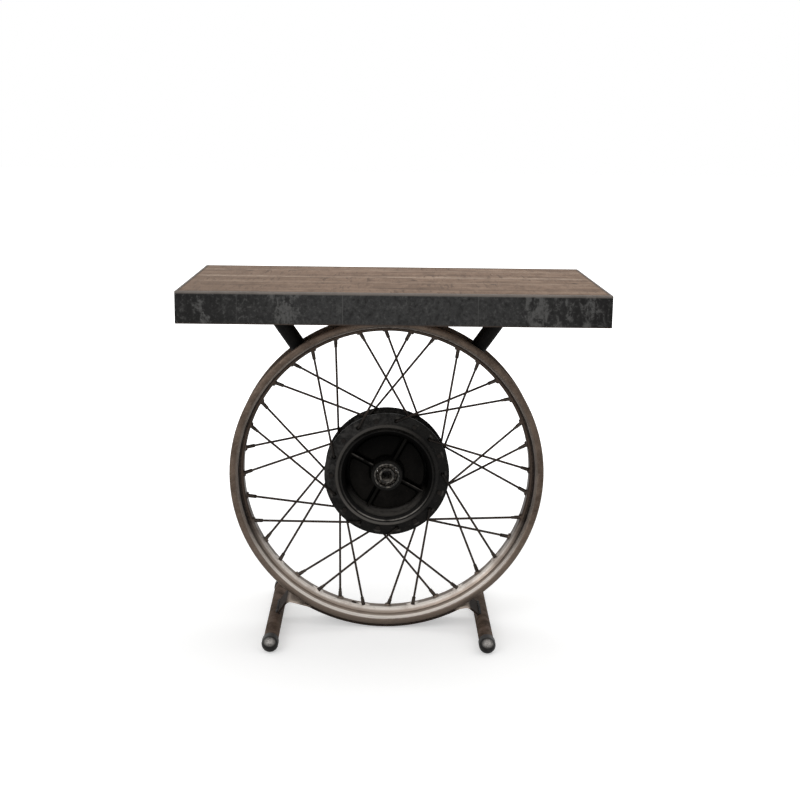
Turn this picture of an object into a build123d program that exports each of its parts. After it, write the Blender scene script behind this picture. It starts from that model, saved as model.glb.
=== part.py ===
from build123d import *
import os
from math import cos, radians, sin, sqrt, tan

# Side table: a steel-banded plank top carried by an old spoked motorcycle wheel.
# The wheel is welded upright into a strap cradle on two foot tubes.
# Millimetres. x = 0 is the middle of the top, y = 0 the wheel's middle plane,
# z = 0 the floor. The front of the table faces -Y.

# --- tabletop ----------------------------------------------------------------------
top_length = 607.0          # over the steel band, along X
top_depth = 349.0           # over the steel band, along Y
top_clearance = 12.0        # from the rim's highest point to the frame's underside
band_height = 45.5          # upright leg of the angle bars
band_wall = 4.0             # wall of the angle bars
ledge_width = 45.0          # lower leg of the angle bars, which carries the boards
band_edge_radius = 1.6      # worn upper outer edge
band_corner_radius = 3.0    # worn upright corners
board_shares = (0.365, 0.2025, 0.27, 0.1625)  # share of the depth of each board, front first
board_gap = 0.6             # open joint between two boards, and round the outside
board_edge_radius = 0.8     # eased long edges of the boards

# --- straps and struts under the top -----------------------------------------------
strap_width = 50.0          # flat bar across the frame above each strut
screw_radius = 2.5          # wood screws that come up through the straps
screw_length = 28.0
screw_head_radius = 4.7
screw_head_height = 2.8
screw_offset = 16.0         # screws stand this far outboard of the strut's axis
screw_play = 0.05           # radial room round a screw's shank in wood
strap_hole_play = 0.3       # radial room round a screw's shank in the strap
strut_radius = 12.5
strut_wall = 2.0
strut_lean = 35.0           # degrees from upright, pointing at the wheel's axis
weld_gap = 0.2              # root gap of every welded joint

# --- wheel -------------------------------------------------------------------------
wheel_x = -6.6              # the wheel stands slightly left of the top's middle
wheel_turn = 1.2            # degrees that the wheel is turned, seen from the front
rim_sheet = 2.3             # sheet thickness of the rolled rim
rim_seat_radius = 228.65    # middle of the sheet in the bead seats
rim_well_drop = 7.0         # from the bead seats in to the well
rim_flange_height = 11.85   # from the bead seats out to the lips
rim_well_half = 10.0        # half widths of the well, the bead seats and the rim
rim_slope_half = 13.5
rim_half = 28.85
rim_root_radius = 4.0       # bend between a bead seat and its flange
rim_well_bend = 2.5         # bends at the two ends of the well's slopes
rim_lip_rounding = 1.0      # rolled edge of the flanges
valve_angle = 255.9         # valve hole, degrees in the wheel's own frame
valve_radius = 4.25

# --- spokes and nipples ------------------------------------------------------------
spokes_per_side = 18
spoke_sweep = 40.0          # degrees between a spoke's nipple and its hub hole
spoke_radius = 1.75
spoke_hole_play = 0.35      # radial room in the flange holes
hole_chamfer = 0.6
elbow_reach = 2.3           # from a flange face to the corner of the spoke's elbow
elbow_radius = 2.4
spoke_head_radius = 3.4
spoke_head_height = 1.4
nipple_radius = 3.1
nipple_length = 15.0        # from the rim towards the hub
nipple_head_radius = 4.25
nipple_head_height = 2.4
nipple_play = 0.3           # radial room in the rim
nipple_offset = 5.5         # half the stagger of the nipples across the well
thread_play = 0.05          # radial room round a spoke in its nipple
seat_boss_radius = 6.4      # dimple pressed round each nipple, wide and narrow end
seat_boss_tip = 5.0
seat_boss_depth = 2.6       # dimple below and above the middle of the sheet
seat_boss_rise = 1.4

# --- hub ---------------------------------------------------------------------------
barrel_radius = 74.0        # between the flanges
hole_rise = 11.5            # from the barrel out to the circle of spoke holes
flange_edge = 10.5          # from the spoke holes out to the flange's edge
flange_outer = 26.0         # outer and inner face of a flange, from the middle plane
flange_inner = 20.0
shoulder_drop = 3.5         # from the spoke holes in to the foot of the front lip
lip_slope = 6.0             # from the foot of the front lip in to its top
lip_face = 29.0
lip_groove = 1.0
crest_drop = 3.5            # from the lip's top in to the raised ring on it
crest_width = 5.9
crest_face = 31.0
mouth_drop = 2.1            # from the raised ring in to the front recess
recess_taper = 3.1          # the recess is this much narrower at its floor
recess_floor = 4.0          # the web is behind this plane, and the drum behind the web
web_thickness = 5.0
boss_radius = 24.0
boss_front = 31.5
boss_rear = 30.0
hub_bore = 16.0             # between the two bearing seats
drum_depth = 35.0           # rear rim of the brake drum
drum_lip_rise = 3.0         # the drum's rear rim stands this far out of the barrel
drum_wall = 5.0
liner_wall = 4.0            # iron liner of the brake drum
liner_play = 0.05
rib_angle = 60.3            # first of the four ribs, in the wheel's own frame
rib_count = 4
rib_thickness = 4.0
rib_front = 12.0            # front edge of the ribs, in front of the middle plane
pad_inner_room = 3.0        # from the boss out to the rubber pads between the ribs
pad_outer_room = 3.4        # from the pads out to the recess's wall
pad_front = 6.0
pad_gap = 3.5
pad_corner = 5.0
pad_play = 0.2              # between a pad and the web

# --- bearings (17 x 40 x 12) -------------------------------------------------------
bearing_outer = 20.0
bearing_bore = 8.5
bearing_width = 12.0
race_inner_edge = 16.6      # inside of the outer race
race_outer_edge = 11.9      # outside of the inner race
ball_pitch = 14.25
ball_radius = 3.3
ball_play = 0.08            # radial room between a ball and its groove
ball_count = 8
cage_inner = 13.1
cage_outer = 15.4
cage_half = 4.2             # half width of the cage
cage_play = 0.1
seat_play = 0.05            # radial room of a race in the hub
spacer_outer = 11.0         # tube between the two inner races
spacer_bore = 8.8
race_chamfer = 0.8

# --- cradle strap and feet ---------------------------------------------------------
cradle_width = 60.0
cradle_sheet = 3.0
wrap_angle = 27.0           # degrees that the strap follows the wheel to each side
left_tail = 10.0            # straight tail past the wrap, before the shelf
right_tail = 5.5
left_shelf = 34.5           # shelf: length, then rise in degrees
right_shelf = 14.5
left_rise = 15.0
right_rise = 11.6
left_drop = 17.3            # run of the drop from the shelf to the foot, along X
right_drop = 20.7
tail_bend = 30.0            # bend radii along the strap
shelf_bend = 10.0
landing_in = 2.5            # the strap's end, from the foot tube's axis
landing_up = 7.4
floor_clearance = 2.3       # from the floor to the strap's lowest point
foot_radius = 11.1
foot_wall = 2.0
cap_radius = 12.5           # the caps carry the table, so this is the tubes' height too
cap_centre = 129.0          # centre of the cap's round end, from the middle plane
cap_sleeve = 12.0           # how far the cap reaches back over the tube
cap_play = 0.05
cap_pocket = 2.0            # how far the tube passes the centre of the round end

# --- derived values and reference geometry -----------------------------------------
rim_well_radius = rim_seat_radius - rim_well_drop
rim_lip_radius = rim_seat_radius + rim_flange_height
wheel_z = floor_clearance + cradle_sheet + weld_gap + rim_lip_radius
underside = wheel_z + rim_lip_radius + top_clearance
board_base = underside + band_wall
top_height = underside + band_height
wheel_centre = Vector(wheel_x, 0, wheel_z)
wheel_axis = Axis(wheel_centre, (0, 1, 0))
# Half section of the wheel: local x is the radius, local y is world y.
section_plane = Plane(origin=wheel_centre, x_dir=(1, 0, 0), z_dir=(0, 0, 1))
strut_centre_offset = (underside - wheel_z) * tan(radians(strut_lean))
strap_reach = top_depth / 2 - ledge_width - weld_gap
boards_depth = top_depth - 2 * band_wall
board_edges = [
    boards_depth * (sum(board_shares[:number]) - 0.5) for number in range(len(board_shares) + 1)
]
hole_circle = barrel_radius + hole_rise
flange_radius = hole_circle + flange_edge
shoulder_radius = hole_circle - shoulder_drop
lip_radius = shoulder_radius - lip_slope
crest_outer = lip_radius - crest_drop
crest_inner = crest_outer - crest_width
recess_mouth = crest_inner - mouth_drop
recess_foot = recess_mouth - recess_taper
pad_inner = boss_radius + pad_inner_room
pad_outer = recess_foot - pad_outer_room
drum_lip_radius = barrel_radius + drum_lip_rise
liner_outer = barrel_radius - drum_wall
liner_inner = liner_outer - liner_wall
sides = {"front": -1, "rear": 1}

os.makedirs("parts", exist_ok=True)


def save(piece, label):
    """Label a finished piece and write its file."""
    piece.label = label
    export_step(piece, f"parts/{label}.step")


def wheel_face(depth, angle=0.0, facing=-1):
    """Plane across the wheel's axis at world y = depth, turned to an angle of the wheel."""
    turned = radians(wheel_turn + angle)
    origin = wheel_centre + Vector(0, depth, 0)
    return Plane(origin=origin, x_dir=(cos(turned), 0, sin(turned)), z_dir=(0, facing, 0))


def wheel_point(radius, angle, depth):
    """Point at a radius and an angle of the wheel, at world y = depth."""
    return wheel_face(depth, angle).from_local_coords((radius, 0, 0))


# --- steel band --------------------------------------------------------------------
with BuildPart() as band_envelope:
    with BuildSketch(Plane.XY.offset(underside)):
        RectangleRounded(top_length, top_depth, band_corner_radius)
    extrude(amount=band_height)
    fillet(band_envelope.faces().sort_by(Axis.Z)[-1].edges(), radius=band_edge_radius)


def make_frame_bar(label, run, reach, turn):
    """One mitred angle bar: run along its side, reach from the middle to its face."""
    side = Plane.XY.rotated((0, 0, turn)).offset(underside)
    start = side.from_local_coords((-run / 2, 0, 0))
    with BuildPart() as bar:
        with BuildSketch(Plane(origin=start, x_dir=side.y_dir, z_dir=side.x_dir)):
            with BuildLine():
                Polyline(
                    (-reach, 0),
                    (-reach, band_height),
                    (-reach + band_wall, band_height),
                    (-reach + band_wall, band_wall),
                    (-reach + ledge_width, band_wall),
                    (-reach + ledge_width, 0),
                    close=True,
                )
            make_face()
        extrude(amount=run)
        with BuildSketch(side):
            with BuildLine():
                Polyline(
                    (-run / 2, -reach),
                    (run / 2, -reach),
                    (run / 2 - ledge_width, -reach + ledge_width),
                    (-run / 2 + ledge_width, -reach + ledge_width),
                    close=True,
                )
            make_face()
        extrude(amount=band_height, mode=Mode.INTERSECT)
        add(band_envelope.part, mode=Mode.INTERSECT)
    save(bar.part, label)


make_frame_bar("frame_front", top_length, top_depth / 2, 0)
make_frame_bar("frame_right", top_depth, top_length / 2, 90)
make_frame_bar("frame_rear", top_length, top_depth / 2, 180)
make_frame_bar("frame_left", top_depth, top_length / 2, 270)

# --- straps, screws and boards -----------------------------------------------------
strap_centres = {"left": wheel_x - strut_centre_offset, "right": wheel_x + strut_centre_offset}
# One screw per board and strap, in the middle of what they share.
screw_places = []
for side_name, outward in (("left", -1), ("right", 1)):
    for low, high in zip(board_edges, board_edges[1:]):
        screw_y = (max(low, -strap_reach) + min(high, strap_reach)) / 2
        screw_places.append((strap_centres[side_name] + outward * screw_offset, screw_y))

for side_name, centre in strap_centres.items():
    with BuildPart() as top_strap:
        with BuildSketch(Plane.XY.offset(underside)):
            with Locations((centre, 0)):
                Rectangle(strap_width, 2 * strap_reach)
            with Locations(*[place for place in screw_places if place[0] * centre > 0]):
                Circle(screw_radius + strap_hole_play, mode=Mode.SUBTRACT)
        extrude(amount=band_wall)
    save(top_strap.part, f"top_strap_{side_name}")

with BuildPart() as strap_screws:
    with BuildSketch(Plane.XY.offset(underside - screw_head_height)):
        with Locations(*screw_places):
            Circle(screw_head_radius)
    extrude(amount=screw_head_height)
    with BuildSketch(Plane.XY.offset(underside)):
        with Locations(*screw_places):
            Circle(screw_radius)
    extrude(amount=screw_length)
    head_rims = strap_screws.edges().filter_by(GeomType.CIRCLE).group_by(Axis.Z)[0]
    chamfer(head_rims, length=screw_head_height / 3)
save(strap_screws.part, "strap_screws")

board_length = top_length - 2 * band_wall - 2 * board_gap
for number, (low, high) in enumerate(zip(board_edges, board_edges[1:]), start=1):
    board_screws = [place for place in screw_places if low < place[1] < high]
    with BuildPart() as board:
        with BuildSketch(Plane.XY.offset(board_base)):
            with Locations((0, (low + high) / 2)):
                Rectangle(board_length, high - low - board_gap)
        extrude(amount=top_height - board_base)
        top_edges = board.faces().sort_by(Axis.Z)[-1].edges().filter_by(Axis.X)
        fillet(top_edges, radius=board_edge_radius)
        with BuildSketch(Plane.XY.offset(board_base)):
            with Locations(*board_screws):
                Circle(screw_radius + screw_play)
        extrude(amount=underside + screw_length + board_gap - board_base, mode=Mode.SUBTRACT)
    save(board.part, f"board_{number}")

# --- spokes and nipples ------------------------------------------------------------
spoke_pitch = 360.0 / spokes_per_side
# Each family: its side, the angle of its first nipple, the way it sweeps to its hub
# hole, and whether it runs outside (1) or inside (-1) of its flange.
spoke_families = {
    "front_outer": ("front", 0.0, 1, 1),
    "front_inner": ("front", spoke_pitch, -1, -1),
    "rear_inner": ("rear", -spoke_pitch / 2, 1, -1),
    "rear_outer": ("rear", spoke_pitch / 2, -1, 1),
}


def spoke_route(family, number):
    """Head end, elbow corner and rim point of one spoke of a family."""
    side_name, first, sweep_way, outside = spoke_families[family]
    side = sides[side_name]
    nipple_angle = first + 2 * spoke_pitch * number
    hole_angle = nipple_angle + sweep_way * spoke_sweep
    if outside > 0:
        head_depth = flange_inner
        corner_depth = flange_outer + elbow_reach
    else:
        head_depth = flange_outer
        corner_depth = flange_inner - elbow_reach
    head = wheel_point(hole_circle, hole_angle, side * head_depth)
    corner = wheel_point(hole_circle, hole_angle, side * corner_depth)
    rim_point = wheel_point(rim_well_radius, nipple_angle, side * nipple_offset)
    return head, corner, rim_point


def nipple_plane(family, number):
    """Plane on the rim's sheet at a nipple, facing outwards along its spoke."""
    head, corner, rim_point = spoke_route(family, number)
    return Plane(origin=rim_point, z_dir=rim_point - corner)


for family in spoke_families:
    with BuildPart() as spokes:
        for number in range(spokes_per_side // 2):
            head, corner, rim_point = spoke_route(family, number)
            along = (rim_point - corner).normalized()
            out_of_head = (head - corner).normalized()
            with BuildLine() as route:
                FilletPolyline(head, corner, rim_point + along, radius=elbow_radius)
            with BuildSketch(Plane(origin=head, z_dir=-out_of_head)):
                Circle(spoke_radius)
            sweep(path=route.line)
            with BuildSketch(Plane(origin=head, z_dir=out_of_head)):
                Circle(spoke_head_radius)
            extrude(amount=spoke_head_height)
    save(spokes.part, f"spokes_{family}")

nipple_planes = {}
for side_name in sides:
    nipple_planes[side_name] = [
        nipple_plane(family, number)
        for family in spoke_families
        if spoke_families[family][0] == side_name
        for number in range(spokes_per_side // 2)
    ]
    with BuildPart() as nipples:
        for place in nipple_planes[side_name]:
            with BuildSketch(place.offset(-nipple_length)):
                Circle(nipple_radius)
                Circle(spoke_radius + thread_play, mode=Mode.SUBTRACT)
            extrude(amount=nipple_length + seat_boss_rise)
            with BuildSketch(place.offset(seat_boss_rise)):
                Circle(nipple_head_radius)
                Circle(spoke_radius + thread_play, mode=Mode.SUBTRACT)
            extrude(amount=nipple_head_height)
    save(nipples.part, f"nipples_{side_name}")

# --- rim ---------------------------------------------------------------------------
# Middle line of the sheet from the front lip to the rear lip, as (radius, y).
rim_half_line = [
    (rim_lip_radius, rim_half),
    (rim_seat_radius, rim_half),
    (rim_seat_radius, rim_slope_half),
    (rim_well_radius, rim_well_half),
]
rim_front_line = [(radius, -depth) for radius, depth in rim_half_line]
rim_line = rim_front_line + rim_half_line[::-1]
rim_bends = [rim_root_radius, rim_well_bend, rim_well_bend]

all_nipple_planes = nipple_planes["front"] + nipple_planes["rear"]
with BuildPart() as rim:
    with BuildSketch(section_plane):
        with BuildLine():
            FilletPolyline(*rim_line, radius=rim_bends + rim_bends[::-1])
        trace(line_width=rim_sheet)
    revolve(axis=wheel_axis)
    round_edges = rim.edges().filter_by(GeomType.CIRCLE)
    lip_edges = round_edges.group_by(lambda edge: round(edge.radius, 2))[-1]
    fillet(lip_edges, radius=rim_lip_rounding)
    boss_height = seat_boss_depth + seat_boss_rise
    for place in all_nipple_planes:
        with Locations(place.offset(-seat_boss_depth)):
            Cone(
                seat_boss_tip,
                seat_boss_radius,
                boss_height,
                align=(Align.CENTER, Align.CENTER, Align.MIN),
            )
    with Locations(*[place.offset(seat_boss_rise) for place in all_nipple_planes]):
        Cylinder(
            nipple_head_radius + nipple_play,
            rim_seat_radius - rim_well_radius,
            align=(Align.CENTER, Align.CENTER, Align.MIN),
            mode=Mode.SUBTRACT,
        )
    with Locations(*all_nipple_planes):
        Cylinder(nipple_radius + nipple_play, 3 * boss_height, mode=Mode.SUBTRACT)
    valve_place = Plane(
        origin=wheel_point(rim_well_radius, valve_angle, 0),
        z_dir=wheel_point(1, valve_angle, 0) - wheel_centre,
    )
    with Locations(valve_place):
        Cylinder(valve_radius, 3 * rim_sheet, mode=Mode.SUBTRACT)
save(rim.part, "rim")

# Everything inside the rim's bed, with the weld gap, to cope the struts.
with BuildPart() as rim_filler:
    with BuildSketch(section_plane):
        with BuildLine():
            Polyline(
                *rim_line[1:-1],
                (barrel_radius, rim_half),
                (barrel_radius, -rim_half),
                close=True,
            )
        make_face()
        offset(amount=rim_sheet / 2 + weld_gap, kind=Kind.INTERSECTION)
    revolve(axis=wheel_axis)

# --- struts ------------------------------------------------------------------------
strut_top = (underside - wheel_z) / cos(radians(strut_lean))
strut_base = rim_well_radius - rim_well_half
for side_name, outward in (("left", -1), ("right", 1)):
    lean = radians(strut_lean)
    way = Vector(outward * sin(lean), 0, cos(lean))
    with BuildPart() as strut:
        with BuildSketch(Plane(origin=wheel_centre + way * strut_base, z_dir=way)):
            Circle(strut_radius)
            Circle(strut_radius - strut_wall, mode=Mode.SUBTRACT)
        extrude(amount=strut_top - strut_base + strut_radius)
        split(bisect_by=Plane.XY.offset(underside), keep=Keep.BOTTOM)
        add(rim_filler.part, mode=Mode.SUBTRACT)
        with Locations(*all_nipple_planes):
            Cylinder(
                seat_boss_radius + weld_gap,
                seat_boss_rise + nipple_head_height + nipple_play,
                align=(Align.CENTER, Align.CENTER, Align.MIN),
                mode=Mode.SUBTRACT,
            )
    save(strut.part.solids().sort_by(SortBy.VOLUME)[-1], f"upper_strut_{side_name}")

# --- hub shell ---------------------------------------------------------------------
# The outer faces of the flanges fall away so that the outer spokes clear their edge.
corner_distance = sqrt(
    rim_well_radius**2
    + hole_circle**2
    - 2 * rim_well_radius * hole_circle * cos(radians(spoke_sweep))
)
spoke_slope = (flange_outer + elbow_reach - nipple_offset) / corner_distance
radial_share = (rim_well_radius * cos(radians(spoke_sweep)) - hole_circle) / corner_distance
along_radius = hole_circle * radial_share
edge_run = sqrt(along_radius**2 + flange_radius**2 - hole_circle**2) - along_radius
flange_edge_face = flange_outer + elbow_reach - edge_run * spoke_slope - spoke_radius - 0.35
web_rear = recess_floor + web_thickness
hub_front_seat = boss_front - bearing_width
hub_rear_seat = boss_rear - bearing_width
seat_radius = bearing_outer + seat_play

with BuildPart() as hub_shell:
    with BuildSketch(section_plane):
        with BuildLine():
            Polyline(
                (hub_bore, -hub_front_seat),
                (seat_radius, -hub_front_seat),
                (seat_radius, -boss_front),
                (boss_radius - 1.5, -boss_front),
                (boss_radius, -boss_front + 1.5),
                (boss_radius, recess_floor),
                (recess_foot, recess_floor),
                (recess_mouth, -lip_face),
                (crest_inner, -crest_face),
                (crest_outer - 1.5, -crest_face),
                (crest_outer, -lip_face - lip_groove / 2),
                (crest_outer + lip_groove, -lip_face + lip_groove),
                (lip_radius, -lip_face),
                (shoulder_radius, -flange_outer),
                (hole_circle, -flange_outer),
                (flange_radius, -flange_edge_face),
                (flange_radius, -flange_inner),
                (barrel_radius, -flange_inner),
                (barrel_radius, flange_inner),
                (flange_radius, flange_inner),
                (flange_radius, flange_edge_face),
                (hole_circle, flange_outer),
                (drum_lip_radius, flange_outer),
                (drum_lip_radius, drum_depth),
                (liner_outer + liner_play, drum_depth),
                (liner_outer + liner_play, web_rear),
                (boss_radius, web_rear),
                (boss_radius, boss_rear),
                (seat_radius, boss_rear),
                (seat_radius, hub_rear_seat),
                (hub_bore, hub_rear_seat),
                close=True,
            )
        make_face()
    revolve(axis=wheel_axis)
    with BuildSketch(wheel_face(recess_floor)):
        with PolarLocations(0, rib_count, start_angle=rib_angle):
            with Locations(((boss_radius + recess_foot) / 2, 0)):
                Rectangle(recess_foot - boss_radius + 2, rib_thickness)
    extrude(amount=recess_floor + rib_front)
    for side_name, side in sides.items():
        first = 0 if side_name == "front" else spoke_pitch / 2
        hole_radius = spoke_radius + spoke_hole_play
        middle = side * (flange_outer + flange_inner) / 2
        with Locations(wheel_face(middle, first)):
            with PolarLocations(hole_circle, spokes_per_side):
                Cylinder(hole_radius, 2 * (flange_outer - flange_inner), mode=Mode.SUBTRACT)
        for face_depth, facing in ((flange_outer, side), (flange_inner, -side)):
            face = wheel_face(side * face_depth, first, facing)
            with Locations(face.offset(-hole_chamfer)):
                with PolarLocations(hole_circle, spokes_per_side):
                    Cone(
                        hole_radius,
                        hole_radius + 3 * hole_chamfer,
                        3 * hole_chamfer,
                        align=(Align.CENTER, Align.CENTER, Align.MIN),
                        mode=Mode.SUBTRACT,
                    )
save(hub_shell.part, "hub_shell")

# --- rubber pads, drum liner -------------------------------------------------------
pad_clear = rib_thickness / 2 + pad_gap
for number in range(rib_count):
    place = wheel_face(recess_floor - pad_play, rib_angle + number * 360.0 / rib_count)
    with BuildPart() as pad:
        with BuildSketch(place):
            Circle(pad_outer)
            Circle(pad_inner, mode=Mode.SUBTRACT)
            with Locations((pad_clear, pad_clear)):
                Rectangle(
                    pad_outer,
                    pad_outer,
                    align=(Align.MIN, Align.MIN),
                    mode=Mode.INTERSECT,
                )
            fillet(vertices(), radius=pad_corner)
        extrude(amount=recess_floor - pad_play + pad_front)
        fillet(pad.faces().sort_by(Axis.Y)[0].edges(), radius=pad_corner / 4)
    save(pad.part, f"cush_rubber_{number + 1}")

with BuildPart() as drum_liner:
    with BuildSketch(wheel_face(web_rear + liner_play)):
        Circle(liner_outer)
        Circle(liner_inner, mode=Mode.SUBTRACT)
    extrude(amount=-(drum_depth - web_rear - liner_play))
save(drum_liner.part, "brake_drum_liner")

# --- bearings ----------------------------------------------------------------------
bearing_middles = {
    "front": -(boss_front - bearing_width / 2),
    "rear": boss_rear - bearing_width / 2,
}
for side_name, middle in bearing_middles.items():
    groove_radius = ball_radius + ball_play
    for race_name, inside, outside in (
        ("outer_race", race_inner_edge, bearing_outer),
        ("inner_race", bearing_bore, race_outer_edge),
    ):
        with BuildPart() as race:
            with BuildSketch(section_plane):
                with Locations(((inside + outside) / 2, middle)):
                    Rectangle(outside - inside, bearing_width)
                chamfer(vertices(), length=race_chamfer)
                with Locations((ball_pitch, middle)):
                    Circle(groove_radius, mode=Mode.SUBTRACT)
            revolve(axis=wheel_axis)
        save(race.part, f"{side_name}_{race_name}")
    with BuildPart() as balls:
        with Locations(wheel_face(middle)):
            with PolarLocations(ball_pitch, ball_count):
                Sphere(ball_radius)
    save(balls.part, f"{side_name}_bearing_balls")
    with BuildPart() as cage:
        with BuildSketch(wheel_face(middle)):
            Circle(cage_outer)
            Circle(cage_inner, mode=Mode.SUBTRACT)
        extrude(amount=cage_half, both=True)
        for number in range(ball_count):
            ball_place = wheel_point(ball_pitch, number * 360.0 / ball_count, middle)
            outwards = ball_place - wheel_centre - Vector(0, middle, 0)
            with Locations(Plane(origin=ball_place, z_dir=outwards)):
                Cylinder(ball_radius + cage_play, ball_radius, mode=Mode.SUBTRACT)
    save(cage.part, f"{side_name}_bearing_cage")

with BuildPart() as spacer_tube:
    with BuildSketch(wheel_face(hub_rear_seat)):
        Circle(spacer_outer)
        Circle(spacer_bore, mode=Mode.SUBTRACT)
    extrude(amount=hub_rear_seat + hub_front_seat)
save(spacer_tube.part, "spacer_tube")

# --- line of the cradle strap ------------------------------------------------------
# Middle line of the strap, as (x from the wheel, z). The two tangents of the wrap meet
# below the wheel; each then runs into a tail, a shelf and a drop onto a foot tube.
wrap_radius = rim_lip_radius + weld_gap + cradle_sheet / 2
wrap = radians(wrap_angle)
tangent_meet = (0.0, wheel_z - wrap_radius / cos(wrap))


def strap_side(outward, tail, shelf, rise, drop):
    """Corners of one side of the strap, from the wheel out to its foot."""
    out_x = wrap_radius * sin(wrap) + tail * cos(wrap)
    out_z = wheel_z - wrap_radius * cos(wrap) + tail * sin(wrap)
    crest_x = out_x + shelf * cos(radians(rise))
    crest_z = out_z + shelf * sin(radians(rise))
    return [
        (outward * out_x, out_z),
        (outward * crest_x, crest_z),
        (outward * (crest_x + drop), cap_radius + landing_up),
    ]


left_side = strap_side(-1, left_tail, left_shelf, left_rise, left_drop)
right_side = strap_side(1, right_tail, right_shelf, right_rise, right_drop)
feet = {
    "left": wheel_x + left_side[-1][0] - landing_in,
    "right": wheel_x + right_side[-1][0] + landing_in,
}

# --- foot tubes and caps -----------------------------------------------------------
tube_half = cap_centre + cap_pocket - cap_play
for side_name, foot_x in feet.items():
    foot_axis = Axis((foot_x, 0, cap_radius), (0, 1, 0))
    with BuildPart() as foot_tube:
        with BuildSketch(Plane(origin=(foot_x, -tube_half, cap_radius), z_dir=(0, 1, 0))):
            Circle(foot_radius)
            Circle(foot_radius - foot_wall, mode=Mode.SUBTRACT)
        extrude(amount=2 * tube_half)
    save(foot_tube.part, f"foot_tube_{side_name}")
    for end_name, end in sides.items():
        profile_plane = Plane(
            origin=(foot_x, end * cap_centre, cap_radius),
            x_dir=(1, 0, 0),
            z_dir=(0, 0, -end),
        )
        with BuildPart() as foot_cap:
            with BuildSketch(profile_plane):
                with BuildLine():
                    outline = Polyline(
                        (0, -cap_radius),
                        (0, -cap_pocket),
                        (foot_radius + cap_play, -cap_pocket),
                        (foot_radius + cap_play, cap_sleeve),
                        (cap_radius, cap_sleeve),
                        (cap_radius, 0),
                    )
                    RadiusArc(outline @ 1, outline @ 0, cap_radius)
                make_face()
            revolve(axis=foot_axis)
        save(foot_cap.part, f"foot_cap_{end_name}_{side_name}")

# --- cradle strap ------------------------------------------------------------------
strap_corners = left_side[::-1] + [tangent_meet] + right_side
strap_route = [(wheel_x + x, -cradle_width / 2, z) for x, z in strap_corners]
bend_radii = [shelf_bend, tail_bend, wrap_radius, tail_bend, shelf_bend]

with BuildPart() as cradle_strap:
    with BuildLine() as strap_line:
        FilletPolyline(*strap_route, radius=bend_radii)
    start_way = strap_line.line % 0
    with BuildSketch(Plane(origin=strap_line.line @ 0, x_dir=(0, 1, 0), z_dir=start_way)):
        Rectangle(cradle_width, cradle_sheet, align=(Align.MIN, Align.CENTER))
    sweep(path=strap_line.line)
    for foot_x in feet.values():
        with Locations(Plane(origin=(foot_x, 0, cap_radius), z_dir=(0, 1, 0))):
            Cylinder(foot_radius + weld_gap, 2 * cradle_width, mode=Mode.SUBTRACT)
save(cradle_strap.part, "cradle_strap")
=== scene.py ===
# %% [markdown]
# # A side table that stands on a motorcycle wheel
#
# The CAD model of the table comes in as a fixed frame: the plank top in its steel band, the
# spoked wheel, the cradle and the feet all stay where they are. Blender adds the finishes
# and the small things that CAD leaves out, such as weld beads and worn nipples.

# %% Load the frame
import math
import random

import bmesh
import bpy
from mathutils import Matrix, Vector


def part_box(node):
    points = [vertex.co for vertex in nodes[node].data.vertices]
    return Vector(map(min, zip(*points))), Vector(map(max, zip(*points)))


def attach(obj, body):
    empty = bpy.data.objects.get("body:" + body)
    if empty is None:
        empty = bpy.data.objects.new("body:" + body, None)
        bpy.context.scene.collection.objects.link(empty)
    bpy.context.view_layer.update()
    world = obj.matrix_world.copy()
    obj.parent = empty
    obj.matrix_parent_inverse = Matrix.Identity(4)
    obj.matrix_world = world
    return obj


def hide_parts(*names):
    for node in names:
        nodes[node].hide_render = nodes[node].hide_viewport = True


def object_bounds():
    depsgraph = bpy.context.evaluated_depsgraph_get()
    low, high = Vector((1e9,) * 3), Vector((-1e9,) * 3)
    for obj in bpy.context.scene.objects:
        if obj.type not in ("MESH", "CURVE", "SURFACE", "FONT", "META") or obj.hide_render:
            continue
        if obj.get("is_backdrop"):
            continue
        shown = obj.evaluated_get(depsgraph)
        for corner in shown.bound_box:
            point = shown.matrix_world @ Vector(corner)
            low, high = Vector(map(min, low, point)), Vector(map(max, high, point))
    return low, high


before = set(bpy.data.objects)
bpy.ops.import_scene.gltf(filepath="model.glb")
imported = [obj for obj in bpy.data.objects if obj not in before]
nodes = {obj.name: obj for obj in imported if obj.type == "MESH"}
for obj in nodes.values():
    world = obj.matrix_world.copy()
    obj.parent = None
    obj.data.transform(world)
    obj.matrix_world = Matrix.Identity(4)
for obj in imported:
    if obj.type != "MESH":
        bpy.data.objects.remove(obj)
cad_low, cad_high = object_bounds()

# %% [markdown]
# ## Sizes that several cells share
#
# All sizes are metres in the table's own frame: x = 0 is the middle of the top, y = 0 the
# wheel's middle plane and z = 0 the floor. The wheel's centre could be typed in, but it is
# read from the rim's box, so that it always agrees with the CAD model.

# %% The wheel and the band, measured from the frame
MM = 0.001
rim_low, rim_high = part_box("rim")
wheel_centre = (rim_low + rim_high) / 2
band_low, band_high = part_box("frame_front")
print("wheel centre", [round(value, 4) for value in wheel_centre])

# %% [markdown]
# ## Camera
#
# The camera stands a little over two metres in front of the table, slightly to the left, and
# looks down by about twelve degrees. Its right, up and view directions are built from three
# angles, because those are easier to read and to adjust than a matrix of nine numbers.

# %% Camera
CAMERA_PLACE = Vector((-0.0201, -2.0137, 0.7723))
CAMERA_YAW = 0.0162
CAMERA_PITCH = 0.2028
CAMERA_ROLL = 0.0133
CAMERA_LENS = 60.3
SENSOR_WIDTH = 36
CLIP_END = 100


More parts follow.
